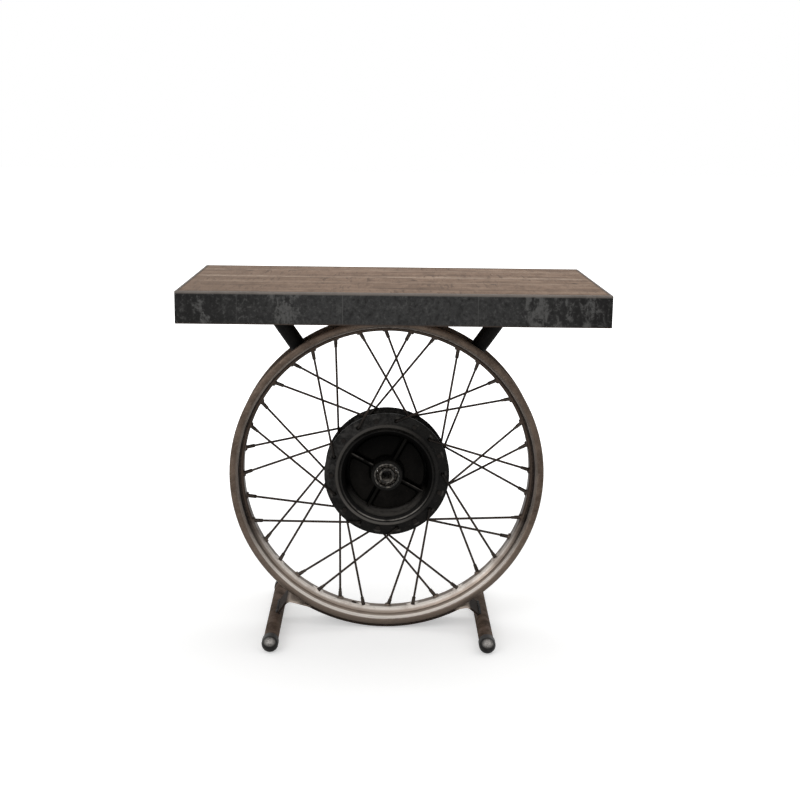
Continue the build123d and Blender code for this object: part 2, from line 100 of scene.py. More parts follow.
def camera_matrix(place, yaw, pitch, roll):
    """World matrix of a camera that looks along +Y, turned by yaw, pitched down and rolled."""
    view = Vector((math.sin(yaw) * math.cos(pitch), math.cos(yaw) * math.cos(pitch), -math.sin(pitch)))
    right = Vector((math.cos(yaw), -math.sin(yaw), 0))
    up = right.cross(view)
    rolled_right = math.cos(roll) * right + math.sin(roll) * up
    rolled_up = -math.sin(roll) * right + math.cos(roll) * up
    columns = Matrix((rolled_right, rolled_up, -view)).transposed().to_4x4()
    return Matrix.Translation(place) @ columns


camera_data = bpy.data.cameras.new("table_camera")
camera_data.lens = CAMERA_LENS
camera_data.sensor_width = SENSOR_WIDTH
camera_data.clip_end = CLIP_END
camera = bpy.data.objects.new("table_camera", camera_data)
bpy.context.scene.collection.objects.link(camera)
camera.matrix_world = camera_matrix(CAMERA_PLACE, CAMERA_YAW, CAMERA_PITCH, CAMERA_ROLL)
bpy.context.scene.camera = camera
bpy.context.scene.view_settings.view_transform = "Standard"
print("camera looks from", [round(value, 3) for value in CAMERA_PLACE])

# %% [markdown]
# ## Floor, world and lamps
#
# A pale floor catches the table's soft shadow. The world is plain grey light; only what the
# camera sees of it is white. One large lamp above the table and a smaller one in front give
# the edges their shine. More light could make the floor white too, but it would wash out
# the table, so the floor glows for the camera alone, and more so further from the table.

# %% Helpers for shader nodes


def add_node(tree, kind, inputs=None, **settings):
    """Add a shader node; an input that is a socket is linked, anything else is its value."""
    made = tree.nodes.new("ShaderNode" + kind)
    for name, value in settings.items():
        setattr(made, name, value)
    for key, value in (inputs or {}).items():
        if isinstance(value, bpy.types.NodeSocket):
            tree.links.new(value, made.inputs[key])
        else:
            made.inputs[key].default_value = value
    return made


def empty_tree(owner):
    """The node tree of a material or world, with no nodes in it."""
    owner.use_nodes = True
    owner.node_tree.nodes.clear()
    return owner.node_tree


# %% Floor and world
FLOOR_SIZE = 40
FLOOR_COLOUR = (0.86, 0.86, 0.855, 1)
FLOOR_GLOW = 0.42
FLOOR_FADE = (0.45, 1.5)
WORLD_LIGHT = 0.62
WHITE = (1, 1, 1, 1)

bpy.ops.object.select_all(action="DESELECT")
bpy.ops.mesh.primitive_plane_add(size=FLOOR_SIZE, location=(0, 0, 0))
floor = bpy.context.object
floor.name = "floor"
floor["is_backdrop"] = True
floor_material = bpy.data.materials.new("pale_floor")
floor.data.materials.append(floor_material)
tree = empty_tree(floor_material)
diffuse = add_node(tree, "BsdfDiffuse", {"Color": FLOOR_COLOUR})
place = add_node(tree, "TexCoord").outputs["Object"]
distance = add_node(tree, "VectorMath", {0: place}, operation="LENGTH").outputs["Value"]
fade = {"Value": distance, "From Min": FLOOR_FADE[0], "From Max": FLOOR_FADE[1], "To Min": FLOOR_GLOW}
glow = add_node(tree, "MapRange", fade, interpolation_type="SMOOTHSTEP").outputs[0]
for_camera = add_node(tree, "LightPath").outputs["Is Camera Ray"]
strength = add_node(tree, "Math", {0: for_camera, 1: glow}, operation="MULTIPLY").outputs[0]
emission = add_node(tree, "Emission", {"Strength": strength})
both = add_node(tree, "AddShader", {0: diffuse.outputs[0], 1: emission.outputs[0]})
add_node(tree, "OutputMaterial", {"Surface": both.outputs[0]})

world = bpy.data.worlds.new("studio")
bpy.context.scene.world = world
tree = empty_tree(world)
for_camera = add_node(tree, "LightPath").outputs["Is Camera Ray"]
strength = add_node(tree, "MapRange", {"Value": for_camera, "To Min": WORLD_LIGHT, "To Max": 1.0}).outputs[0]
background = add_node(tree, "Background", {"Color": WHITE, "Strength": strength})
add_node(tree, "OutputWorld", {"Surface": background.outputs[0]})
print("floor and world made, world light", WORLD_LIGHT)

# %% Lamps
# Place, what it points at, width, height and power.
LAMPS = {
    "lamp_above": ((0.3, 0.5, 2.6), (0, 0, 0.3), 2.4, 2.0, 20),
    "lamp_front": ((-1.6, -2.4, 1.6), (0, 0, 0.25), 1.6, 1.6, 18),
}

for lamp_name, (lamp_place, target, width, height, power) in LAMPS.items():
    lamp_data = bpy.data.lights.new(lamp_name, "AREA")
    lamp_data.shape = "RECTANGLE"
    lamp_data.size = width
    lamp_data.size_y = height
    lamp_data.energy = power
    lamp = bpy.data.objects.new(lamp_name, lamp_data)
    bpy.context.scene.collection.objects.link(lamp)
    lamp.location = lamp_place
    lamp.rotation_euler = (Vector(target) - Vector(lamp_place)).to_track_quat("-Z", "Y").to_euler()
print("soft lamps:", len(LAMPS))

# %% [markdown]
# ## How a finish is made
#
# Each finish is a Principled material whose colour, roughness and bump come from nodes. It
# could be wired by hand in the shader editor, or drawn as an image. Nodes in code need no
# image and stay sharp at any distance. The work is like painting: a mask says where, and a
# coat of another tone is laid there. Masks are numbers from 0 to 1, which are multiplied to
# ask for both, and compared to take the greater one. They read Object coordinates, which
# are the table's own metres, because every object here stands at the origin.

# %% Arithmetic with nodes


class Recipe:
    """A material in the making; each method adds nodes and returns the socket of their result."""

    def __init__(self, name):
        self.material = bpy.data.materials.new(name)
        self.material.use_nodes = True
        self.tree = self.material.node_tree
        self.place = self.node("TexCoord").outputs["Object"]

    def node(self, kind, inputs=None, **settings):
        """Add one node."""
        return add_node(self.tree, kind, inputs, **settings)

    def single(self, operation, value):
        """A Math node with one input."""
        return self.node("Math", {0: value}, operation=operation).outputs[0]

    def chain(self, operation, first, *others):
        """Math nodes that join two or more values from left to right."""
        for other in others:
            first = self.node("Math", {0: first, 1: other}, operation=operation).outputs[0]
        return first

    def times(self, *values):
        """The product, which is the mask of what is in every one of them."""
        return self.chain("MULTIPLY", *values)

    def most(self, *values):
        """The greatest, which is the mask of what is in any of them."""
        return self.chain("MAXIMUM", *values)

    def plus(self, *values):
        """The sum."""
        return self.chain("ADD", *values)

    def minus(self, first, second):
        """The first value without the second."""
        return self.chain("SUBTRACT", first, second)

    def part(self, axis, vector=None):
        """One coordinate of a vector, or of the place."""
        return self.node("SeparateXYZ", {0: vector or self.place}).outputs[axis]

    def along(self, vector, direction):
        """How far a vector reaches along a direction."""
        return self.node("VectorMath", {0: vector, 1: direction}, operation="DOT_PRODUCT").outputs["Value"]

    def ramp(self, value, start, end, full=1.0, least=0.0):
        """From least, up to start, to full, from end on; start may be above end."""
        limits = {"From Min": start, "From Max": end, "To Min": least, "To Max": full}
        return self.node("MapRange", {"Value": value, **limits}).outputs[0]

    def between(self, value, rise, fall):
        """1 between two soft edges and 0 outside them; an edge is where it starts and is full."""
        return self.times(self.ramp(value, *rise), self.ramp(value, *fall))

    def near(self, value, middle, half_width, softness):
        """1 as far as half_width from the middle, with soft ends."""
        distance = self.single("ABSOLUTE", self.minus(value, middle))
        return self.ramp(distance, half_width + softness, max(0.0, half_width - softness))


print("recipes add nodes")

# %% Noise, coats and the shader


class Finish(Recipe):
    """A Principled material that is painted coat by coat."""

    def __init__(self, name, metallic=0.0, roughness=0.6, specular=0.5, shift=None):
        super().__init__(name)
        self.shader = self.tree.nodes["Principled BSDF"]
        self.shader.inputs["Metallic"].default_value = metallic
        self.shader.inputs["Roughness"].default_value = roughness
        self.shader.inputs["Specular IOR Level"].default_value = specular
        self.pattern = self.place
        if shift:
            self.pattern = self.node("Mapping", {"Vector": self.place, "Location": shift}).outputs[0]

    def noise(self, scale, detail, roughness=0.6, distortion=0.0):
        """Noise of one scale, or stretched by three scales."""
        stretch = scale if isinstance(scale, tuple) else (scale, scale, scale)
        scaled = self.node("Mapping", {"Vector": self.pattern, "Scale": stretch}).outputs[0]
        kind = {"Scale": 1.0, "Detail": detail, "Roughness": roughness, "Distortion": distortion}
        return self.node("TexNoise", {"Vector": scaled, **kind}).outputs["Fac"]

    def cloud_and_speck(self, cloud_scale, speck_scale):
        """Broad noise for stains, and fine noise for worn specks."""
        return self.noise(cloud_scale, 6.0, 0.65), self.noise(speck_scale, 4.0, 0.7)

    def mix(self, factor, low, high, blend="MIX"):
        """Colour that goes from low to high as factor goes from 0 to 1."""
        low, high = [tone if isinstance(tone, bpy.types.NodeSocket) else (*tone, 1) for tone in (low, high)]
        tones = {"Factor": factor, "A": low, "B": high}
        return self.node("Mix", tones, data_type="RGBA", blend_type=blend).outputs["Result"]

    def coat(self, mask, tone):
        """Lay a tone over the colour so far, where the mask is."""
        self.colour = self.mix(mask, self.colour, tone)

    def feed(self, socket_name, value):
        """Drive one of the shader's sockets."""
        self.tree.links.new(value, self.shader.inputs[socket_name])

    def done(self, height, strength, distance):
        """Drive the colour, and the bump by a height, and hand the material over."""
        self.feed("Base Color", self.colour)
        bump = self.node("Bump", {"Height": height, "Strength": strength, "Distance": distance})
        self.feed("Normal", bump.outputs[0])
        return self.material


def dress(node_names, material):
    """Give the objects of CAD nodes one material in every slot."""
    for node_name in node_names:
        slots = nodes[node_name].material_slots
        for slot in slots:
            slot.material = material
        if not slots:
            nodes[node_name].data.materials.append(material)


print("finishes lay coats")

# %% [markdown]
# ## Reclaimed planks
#
# The planks are old softwood: grey-brown, with long fine grain along the board, short dark
# saw marks across it, paler worn streaks and dark knots. The grain is noise that is stretched
# along x, the saw marks are noise that is squeezed along x. One wood for all planks would
# run on from board to board, so each gets its own material with its own shifted grain.

# %% Wood material
WOOD_BASE = (0.232, 0.157, 0.112)
WOOD_PALE = (0.375, 0.270, 0.202)
WOOD_DARK = (0.112, 0.074, 0.053)
WOOD_STAIN = (0.044, 0.030, 0.023)
WOOD_GREY = (0.180, 0.131, 0.098)
WOOD_FIBRE = (0.520, 0.420, 0.340)
# Where the grain's dark, middle and pale tones stand in its noise.
GRAIN_STOPS = (0.30, 0.50, 0.72)
GRAIN_SHIFT = (1.7, 0.9, 0.4)
KNOT_SCALE = 15.0
# Each pair is where a zone starts and where it is full: along x, or in from an edge.
GREY_END = (-0.10, -0.28)
FIBRE_REACH = (0.0130, 0.0020)
# How far the painted shade at the band reaches in, along x and along y.
SHADE_REACH_X = (0.0075, 0.0045)
SHADE_REACH_Y = (0.0085, 0.0050)


def make_wood(name, seed, tint, edges):
    """Weathered plank: grain, saw marks, knots, pale fibres at its edges, painted shade at the band."""
    wood = Finish(name, roughness=0.75, specular=0.2, shift=tuple(seed * step for step in GRAIN_SHIFT))
    grain = wood.noise((4.0, 30.0, 30.0), 8.0, 0.66, 1.2)
    fine = wood.noise((14.0, 420.0, 420.0), 5.0, 0.7)
    broad = wood.noise((5.0, 16.0, 16.0), 4.0)
    mottle = wood.noise((62.0, 20.0, 20.0), 7.0, 0.70, 0.5)
    saw = wood.noise((185.0, 20.0, 20.0), 5.0, 0.62, 0.3)
    saw_area = wood.noise((11.0, 20.0, 20.0), 3.0)
    grain_ramp = wood.node("ValToRGB", {"Fac": grain})
    stops = grain_ramp.color_ramp.elements
    stops[0].position = GRAIN_STOPS[0]
    stops[0].color = (*WOOD_DARK, 1)
    stops[1].position = GRAIN_STOPS[2]
    stops[1].color = (*WOOD_PALE, 1)
    stops.new(GRAIN_STOPS[1]).color = (*WOOD_BASE, 1)
    wood.colour = grain_ramp.outputs["Color"]
    wood.coat(wood.ramp(broad, 0.35, 0.7, 0.5), WOOD_BASE)
    wood.coat(wood.ramp(mottle, 0.52, 0.68, 0.42), WOOD_PALE)
    wood.coat(wood.ramp(mottle, 0.48, 0.34, 0.45), WOOD_DARK)
    wood.coat(wood.ramp(fine, 0.52, 0.70, 0.26), WOOD_DARK)
    saw_marks = wood.times(wood.ramp(saw, 0.54, 0.64, 0.75), wood.ramp(saw_area, 0.42, 0.58))
    wood.coat(saw_marks, WOOD_DARK)
    knots = wood.node("TexVoronoi", {"Vector": wood.pattern, "Scale": KNOT_SCALE}).outputs["Distance"]
    wood.coat(wood.ramp(knots, 0.110, 0.040, 0.85), WOOD_STAIN)
    # The left end has gone grey.
    place_x = wood.part("X")
    place_y = wood.part("Y")
    wood.coat(wood.ramp(place_x, *GREY_END, 0.35), WOOD_GREY)
    # Pale fibres stand up along the plank's long edges, in broken runs.
    runs = wood.ramp(wood.noise((34.0, 120.0, 120.0), 7.0, 0.75), 0.42, 0.58)
    for edge_y, inwards, wear in edges:
        start, full = (edge_y + inwards * reach for reach in FIBRE_REACH)
        wood.coat(wood.times(wood.ramp(place_y, start, full, wear), runs), WOOD_FIBRE)
    # Painted shade darkens the planks where they meet the band.
    band_shade = []
    for value, outside, reach in ((place_x, cad_high.x, SHADE_REACH_X), (place_y, cad_high.y, SHADE_REACH_Y)):
        sides = wood.single("ABSOLUTE", value)
        band_shade.append(wood.ramp(sides, outside - reach[0], outside - reach[1], 0.75))
    wood.coat(wood.most(*band_shade), WOOD_DARK)
    wood.colour = wood.mix(1.0, wood.colour, tint, "MULTIPLY")
    return wood.done(wood.plus(grain, wood.plus(fine, wood.times(saw, 0.5))), 0.35, 0.0012)


# %% Dress the planks
# Tint of each plank, and how worn its front and its rear edge are.
PLANKS = {
    "board_1": ((0.97, 0.96, 0.94), 0.0, 0.25),
    "board_2": ((1.00, 0.99, 0.97), 0.3, 0.6),
    "board_3": ((1.00, 0.99, 0.98), 0.7, 0.35),
    "board_4": ((1.02, 1.01, 1.00), 0.35, 0.3),
}
SEED_STEP = 3.1

for number, (board, (tint, front_wear, rear_wear)) in enumerate(PLANKS.items(), start=1):
    board_low, board_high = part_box(board)
    edges = ((board_low.y, 1, front_wear), (board_high.y, -1, rear_wear))
    dress([board], make_wood(f"plank_wood_{number}", SEED_STEP * number, tint, edges))
print("planks dressed:", len(PLANKS))

# %% [markdown]
# ## Blackened steel band
#
# The band is hot-rolled angle, blackened by hand. It is darker towards the left end, scraped
# to bare grey in patches, streaked upright by the scraper, and worn bright along its upper
# edge. Noise alone would put the patches anywhere, so they are soft boxes along x, whose
# ends wander with the noise, and the noise breaks them up.

# %% Band material
BAND_DARK = (0.0060, 0.0056, 0.0052)
BAND_GREY = (0.035, 0.0345, 0.0340)
BAND_BARE = (0.098, 0.096, 0.093)
BAND_EDGE = (0.212, 0.184, 0.164)
BAND_RUST = (0.055, 0.034, 0.024)
# Scraped patches along the front: middle and half width in metres, and strength.
BAND_PATCHES = [
    (-0.268, 0.010, 0.65),
    (-0.205, 0.012, 0.40),
    (-0.149, 0.020, 0.80),
    (0.198, 0.016, 0.85),
    (0.232, 0.012, 0.55),
    (0.268, 0.014, 0.70),
]
PATCH_SOFTNESS = 0.007
# Fine upright scratches: place along x, and strength.
BAND_SEAMS = [(-0.2178, 0.25), (-0.0714, 0.55), (0.1165, 0.4)]
SEAM_HALF = 0.0006
SEAM_SOFTNESS = 0.0005
# The grey middle of the front: middle, half width and softness.
GREY_MIDDLE = (0.01, 0.17, 0.12)
# The worn upper edge and the rusty lower one: where each starts and is full.
WORN_EDGE = (band_high.z - 0.0042, band_high.z - 0.0020)
RUSTY_EDGE = (band_low.z + 0.0022, band_low.z + 0.0006)


def make_band_steel():
    """Blackened, scraped steel."""
    steel = Finish("blackened_band", metallic=0.2, roughness=0.6, specular=0.25)
    streaks = steel.noise((260.0, 260.0, 60.0), 5.0, 0.65, 0.3)
    cloud = steel.noise(30.0, 6.0, 0.62)
    blotch = steel.noise((85.0, 85.0, 60.0), 8.0, 0.7, 0.6)
    speck = steel.noise(190.0, 5.0, 0.75)
    place_x = steel.part("X")
    place_z = steel.part("Z")
    greyness = steel.plus(steel.times(cloud, 0.9), steel.near(place_x, *GREY_MIDDLE))
    steel.colour = steel.mix(steel.ramp(greyness, 0.35, 1.25), BAND_DARK, BAND_GREY)
    wander = steel.times(steel.minus(cloud, 0.5), 0.06)
    wandering = steel.plus(place_x, wander)
    patches = []
    for middle, half_width, strength in BAND_PATCHES:
        patches.append(steel.times(steel.near(wandering, middle, half_width, PATCH_SOFTNESS), strength))
    scrape = steel.plus(steel.times(steel.most(*patches), 0.30), blotch, steel.times(streaks, 0.35))
    steel.coat(steel.ramp(blotch, 0.54, 0.70, 0.5), BAND_BARE)
    steel.coat(steel.ramp(blotch, 0.47, 0.34, 0.7), BAND_DARK)
    steel.coat(steel.ramp(scrape, 0.84, 0.96, 0.8), BAND_BARE)
    steel.coat(steel.ramp(speck, 0.54, 0.72, 0.7), BAND_BARE)
    steel.coat(steel.ramp(speck, 0.47, 0.32, 0.85), BAND_DARK)
    for seam_x, strength in BAND_SEAMS:
        steel.coat(steel.times(steel.near(place_x, seam_x, SEAM_HALF, SEAM_SOFTNESS), strength), BAND_BARE)
    edge_wear = steel.plus(steel.ramp(cloud, 0.30, 0.60, 0.35), 0.60)
    steel.coat(steel.times(steel.ramp(place_z, *WORN_EDGE), edge_wear), BAND_EDGE)
    steel.coat(steel.ramp(place_z, *RUSTY_EDGE, 0.7), BAND_RUST)
    steel.feed("Roughness", steel.ramp(cloud, 0.3, 0.7, 0.68, 0.45))
    return steel.done(steel.plus(steel.times(streaks, 0.5), speck), 0.4, 0.0006)


dress(["frame_front", "frame_rear", "frame_left", "frame_right"], make_band_steel())
print("band dressed")

# %% [markdown]
# ## Metals of the stand and the bearings
#
# Most of the steel here has the same story: a base tone, grime in stains that follow broad
# noise and worn specks that follow fine noise. Each could have its own node tree, but one
# function and a table of tones make them all, and show at a glance how they differ.

# %% Aged finishes
# Base tone, worn tone, grime, metallic, roughness, scale of the stains, and specular level.
AGED_FINISHES = {
    "aged_nipple": ((0.060, 0.046, 0.037), (0.26, 0.22, 0.18), (0.026, 0.019, 0.015), 0.6, 0.4, 120.0, 0.4),
    "black_paint": (
        (0.0028, 0.0026, 0.0024), (0.016, 0.014, 0.0125), (0.006, 0.0052, 0.0046), 0.0, 0.5, 30.0, 0.1
    ),
    "brown_tube_paint": (
        (0.122, 0.083, 0.060), (0.180, 0.130, 0.097), (0.044, 0.0295, 0.021), 0.0, 0.6, 40.0, 0.06
    ),
    "plain_screw": ((0.36, 0.35, 0.33), (0.5, 0.49, 0.46), (0.16, 0.13, 0.10), 0.95, 0.35, 200.0, 0.5),
    "drum_iron": ((0.11, 0.10, 0.09), (0.20, 0.18, 0.16), (0.06, 0.04, 0.03), 0.9, 0.4, 70.0, 0.5),
    "dusty_tube": ((0.16, 0.145, 0.13), (0.45, 0.42, 0.38), (0.03, 0.026, 0.022), 0.0, 0.85, 260.0, 0.05),
    "greasy_ball": ((0.28, 0.265, 0.245), (0.42, 0.40, 0.37), (0.05, 0.042, 0.034), 0.95, 0.22, 260.0, 0.5),
    "greasy_cage": ((0.050, 0.043, 0.036), (0.20, 0.175, 0.15), (0.014, 0.011, 0.009), 0.7, 0.38, 200.0, 0.4),
    "painted_weld": (
        (0.006, 0.0055, 0.005), (0.040, 0.033, 0.028), (0.016, 0.012, 0.010), 0.2, 0.45, 80.0, 0.4
    ),
    "bore_dirt": ((0.11, 0.100, 0.088), (0.34, 0.315, 0.285), (0.020, 0.017, 0.014), 0.0, 0.8, 330.0, 0.1),
}
SPECKS_PER_STAIN = 7


def make_aged(name, base, worn, grime, metallic, roughness, scale, specular):
    """Metal, paint or dirt with worn specks and grime, from fine noise."""
    aged = Finish(name, metallic, roughness, specular)
    cloud, speck = aged.cloud_and_speck(scale, scale * SPECKS_PER_STAIN)
    aged.colour = aged.mix(aged.ramp(cloud, 0.42, 0.62, 0.85), base, grime)
    aged.coat(aged.ramp(speck, 0.56, 0.72, 0.7), worn)
    smoothest = max(0.1, roughness - 0.1)
    roughest = min(1.0, roughness + 0.15)
    aged.feed("Roughness", aged.ramp(cloud, 0.35, 0.65, roughest, smoothest))
    return aged.done(aged.plus(speck, cloud), 0.4, 0.0004)


aged_finishes = {name: make_aged(name, *recipe) for name, recipe in AGED_FINISHES.items()}
for side in ("left", "right"):
    dress([f"upper_strut_{side}", f"top_strap_{side}"], aged_finishes["black_paint"])
dress(["foot_tube_left", "foot_tube_right"], aged_finishes["brown_tube_paint"])
dress(["brake_drum_liner"], aged_finishes["drum_iron"])
dress(["spacer_tube"], aged_finishes["dusty_tube"])
dress(["front_bearing_balls", "rear_bearing_balls"], aged_finishes["greasy_ball"])
print("aged finishes:", len(aged_finishes))

# %% [markdown]
# ## Foot caps
#
# The caps are glossy black rubber. A pale painted highlight lies on the upper outer side of
# each dome. It could be painted by hand; here it is a mask of the distance from one spot on
# each dome, so that all four caps share one material.

# %% Cap rubber
CAP_BLACK = (0.0075, 0.0070, 0.0065)
CAP_GREY = (0.022, 0.020, 0.018)
# A pale painted highlight, and the spot on each dome where it lies.
CAP_HIGHLIGHT = (0.55, 0.52, 0.49)
HIGHLIGHT_OUT = 0.1394
HIGHLIGHT_UP = 0.0195
HIGHLIGHT_WIDENING = 0.75
HIGHLIGHT_EDGE = (0.0082, 0.0012)


def make_cap_rubber():
    """Black rubber with a pale painted highlight high on each dome."""
    rubber = Finish("cap_rubber", roughness=0.35, specular=0.3)
    cloud, speck = rubber.cloud_and_speck(60.0, 420.0)
    rubber.colour = rubber.mix(rubber.ramp(cloud, 0.42, 0.62), CAP_BLACK, CAP_GREY)
    place_x = rubber.part("X")
    out_off = rubber.minus(rubber.single("ABSOLUTE", rubber.part("Y")), HIGHLIGHT_OUT)
    up_off = rubber.minus(rubber.part("Z"), HIGHLIGHT_UP)
    # The painted highlight: a soft spot high on each dome, broken up by fine noise.
    spots = []
    for side_name in ("left", "right"):
        tube_low, tube_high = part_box(f"foot_tube_{side_name}")
        side_off = rubber.times(rubber.minus(place_x, (tube_low.x + tube_high.x) / 2), HIGHLIGHT_WIDENING)
        off = rubber.node("CombineXYZ", {0: side_off, 1: out_off, 2: up_off}).outputs[0]
        distance = rubber.node("VectorMath", {0: off}, operation="LENGTH").outputs["Value"]
        spots.append(rubber.ramp(distance, *HIGHLIGHT_EDGE))
    rubber.coat(rubber.times(rubber.most(*spots), rubber.ramp(speck, 0.25, 0.55)), CAP_HIGHLIGHT)
    return rubber.done(rubber.plus(speck, cloud), 0.4, 0.0003)


dress([name for name in nodes if name.startswith("foot_cap_")], make_cap_rubber())
print("caps dressed")

# %% [markdown]
# ## Rim and hub, dressed by place
#
# The dirt, painted light and painted shade on a wheel follow its turning shape. It could be
# painted on an unrolled map, but these finishes look up where they are: the distance from the
# wheel's axis and the depth from its middle plane. On the rim the inner side is rubbed and
# carries painted light at the bottom, and is old and brown above; on the hub the ring and its
# shoulder have lost their paint and carry painted light, the ribs a painted highlight and the
# recess painted shade.

# %% Place on the wheel
# The wheel is turned a little, and nipples and spoke holes repeat by this angle.
WHEEL_TURN = math.radians(1.2)
SPOKE_PITCH = math.radians(20.0)


class WheelFinish(Finish):
    """A finish that knows its radius from the wheel's axis and its depth, which is y."""

    def __init__(self, name, **settings):
        super().__init__(name, **settings)
        from_hub = self.node("VectorMath", {0: self.place, 1: wheel_centre}, operation="SUBTRACT")
        self.from_hub = from_hub.outputs[0]
        flat = self.node("VectorMath", {0: self.from_hub, 1: (1, 0, 1)}, operation="MULTIPLY").outputs[0]
        self.radius = self.node("VectorMath", {0: flat}, operation="LENGTH").outputs["Value"]
        self.depth = self.part("Y")

    def beat(self):
        """1 at the angle of each front nipple and spoke hole, down to -1 halfway between two."""
        angle = self.chain("ARCTAN2", self.part("Z", self.from_hub), self.part("X", self.from_hub))
        beats = self.times(self.minus(angle, WHEEL_TURN), 2 * math.pi / SPOKE_PITCH)
        return self.single("COSINE", beats)


print("spoke pitch in degrees", round(math.degrees(SPOKE_PITCH), 1))

# %% Zones of the rim
RIM_BROWN = (0.150, 0.110, 0.084)
RIM_RUST = (0.058, 0.040, 0.030)
RIM_LIGHT = (0.260, 0.208, 0.170)
# The painted highlight on the rim's lower inside and on the bend.
RIM_HIGHLIGHT = (1.0, 0.92, 0.84)
RIM_DULL = (0.58, 0.49, 0.42)
# The seat's dark tone is grime and painted shade under the flange.
RIM_GRIME_AND_SHADE = (0.020, 0.0142, 0.0112)
RIM_WELL_OLD = (0.075, 0.053, 0.041)
# The seat's rubbed tone with painted light, at the bottom.
RIM_SEAT_RUBBED_AND_LIT = (0.410, 0.338, 0.284)
# The flange is rolled round: its bulge is highest at this radius and falls off both ways.
FLANGE_CREST = 0.2348
FLANGE_BULGE = -46.0
# Above the first height the rim keeps its dark tones; below the second one it is rubbed and painted light
# from above is full.
RUBBED_AND_LIT_HEIGHTS = (0.185, 0.095)
# The sheet's middle radius goes from the well's to the seat's over this step.
STEP_AWAY = (0.0100, 0.0135)
WELL_MIDDLE = 0.22165
SEAT_MIDDLE = 0.22865
INNER_SIDE = (0.0004, -0.0004)
# Each pair is where a zone starts and where it is full: AWAY from the middle plane, OUT from
# the axis, DEPTH towards the rear.
FRONT_DEPTH = (-0.0015, -0.0070)
DIMPLE_DEPTH = (0.0045, 0.0015)
WELL_AWAY = (0.0130, 0.0116)
WELL_OUT = (0.2262, 0.2254)
SEAT_AWAY = ((0.0114, 0.0128), (0.0264, 0.0252))
SEAT_OUT = (0.2322, 0.2310)
BEND_AWAY = (0.0250, 0.0262)
BEND_OUT = (0.2318, 0.2304)
FLANGE_AWAY = (0.0285, 0.0290)
LIP_OUT = (0.2394, 0.2400)
print("zones of the rim are ready")


# %% Rim material
def make_rim_steel():
    """Old rim steel: rubbed and painted light inside at the bottom, darker above, with brown flanges."""
    steel = WheelFinish("browned_rim", metallic=0.85, roughness=0.4)
    radius = steel.radius
    away = steel.single("ABSOLUTE", steel.depth)
    cloud = steel.noise(34.0, 7.0, 0.65)
    speck = steel.noise(330.0, 4.0, 0.7)
    # Low on the rim the steel is rubbed and lit by painted light from above.
    rubbed_and_lit = steel.ramp(steel.plus(steel.part("Z"), steel.times(cloud, 0.03)), *RUBBED_AND_LIT_HEIGHTS)
    beyond = steel.minus(radius, steel.ramp(away, *STEP_AWAY, SEAT_MIDDLE, WELL_MIDDLE))
    rubbed_and_lit_inside = steel.times(rubbed_and_lit, steel.ramp(beyond, *INNER_SIDE))
    flange = steel.mix(steel.ramp(cloud, 0.42, 0.66, 0.8), RIM_BROWN, RIM_RUST)
    flange = steel.mix(steel.ramp(speck, 0.52, 0.72, 0.6), flange, RIM_LIGHT)
    flange = steel.mix(steel.times(rubbed_and_lit, 0.6), flange, RIM_LIGHT)
    # The painted highlight lies on the front part of the well, and a painted glint on the dimple round each
    # front nipple.
    dimple = steel.times(steel.ramp(steel.beat(), 0.66, 0.88), steel.ramp(steel.depth, *DIMPLE_DEPTH))
    highlight_part = steel.most(steel.ramp(steel.depth, *FRONT_DEPTH), dimple)
    well_highlight = steel.mix(steel.ramp(cloud, 0.48, 0.66, 0.6), RIM_HIGHLIGHT, RIM_DULL)
    well_highlight = steel.mix(steel.ramp(speck, 0.60, 0.74, 0.6), well_highlight, RIM_RUST)
    old_well = steel.mix(steel.times(rubbed_and_lit_inside, 0.7), RIM_WELL_OLD, RIM_LIGHT)
    well = steel.mix(steel.times(rubbed_and_lit_inside, highlight_part), old_well, well_highlight)
    # The seat is dark with grime and painted shade, and lighter where it is rubbed and painted lit.
    seat = steel.mix(steel.ramp(speck, 0.50, 0.75, 0.5), RIM_GRIME_AND_SHADE, RIM_BROWN)
    seat = steel.mix(rubbed_and_lit_inside, seat, RIM_SEAT_RUBBED_AND_LIT)
    in_seat = steel.times(steel.between(away, *SEAT_AWAY), steel.ramp(radius, *SEAT_OUT))
    in_well = steel.times(steel.ramp(away, *WELL_AWAY), steel.ramp(radius, *WELL_OUT))
    # The bend from the seat into the flange stands proud and gets a painted highlight, full where the rim is
    # rubbed and lit.
    in_bend = steel.times(steel.ramp(away, *BEND_AWAY), steel.ramp(radius, *BEND_OUT))
    steel.colour = flange
    steel.coat(steel.times(in_bend, steel.most(steel.times(rubbed_and_lit, 0.95), 0.12)), RIM_HIGHLIGHT)
    steel.coat(in_seat, seat)
    steel.coat(in_well, well)
    steel.coat(steel.times(steel.ramp(radius, *LIP_OUT), steel.ramp(cloud, 0.40, 0.55)), RIM_LIGHT)
    # Rubbed steel under the painted highlight is matt rather than mirror-like, so it gets less metal and more
    # grey.
    matt = steel.most(steel.times(in_well, rubbed_and_lit_inside), steel.times(in_bend, rubbed_and_lit))
    steel.feed("Metallic", steel.ramp(steel.times(matt, highlight_part), 0.0, 1.0, 0.10, 0.85))
    steel.feed("Roughness", steel.ramp(cloud, 0.35, 0.65, 0.50, 0.34))
    off_crest = steel.minus(radius, FLANGE_CREST)
    bulge = steel.times(off_crest, off_crest, FLANGE_BULGE)
    on_flange = steel.times(steel.ramp(away, *FLANGE_AWAY), bulge)
    return steel.done(steel.plus(on_flange, steel.times(speck, 0.00010)), 1.0, 1.0)


dress(["rim"], make_rim_steel())
print("rim dressed")

# %% Zones of the hub
HUB_BLACK = (0.0024, 0.0022, 0.0020)
HUB_DUST = (0.0090, 0.0081, 0.0073)
# Worn paint, and the painted light on the ring, its shoulder, the ribs and beside the holes.
HUB_WORN_AND_LIT = (0.080, 0.073, 0.066)
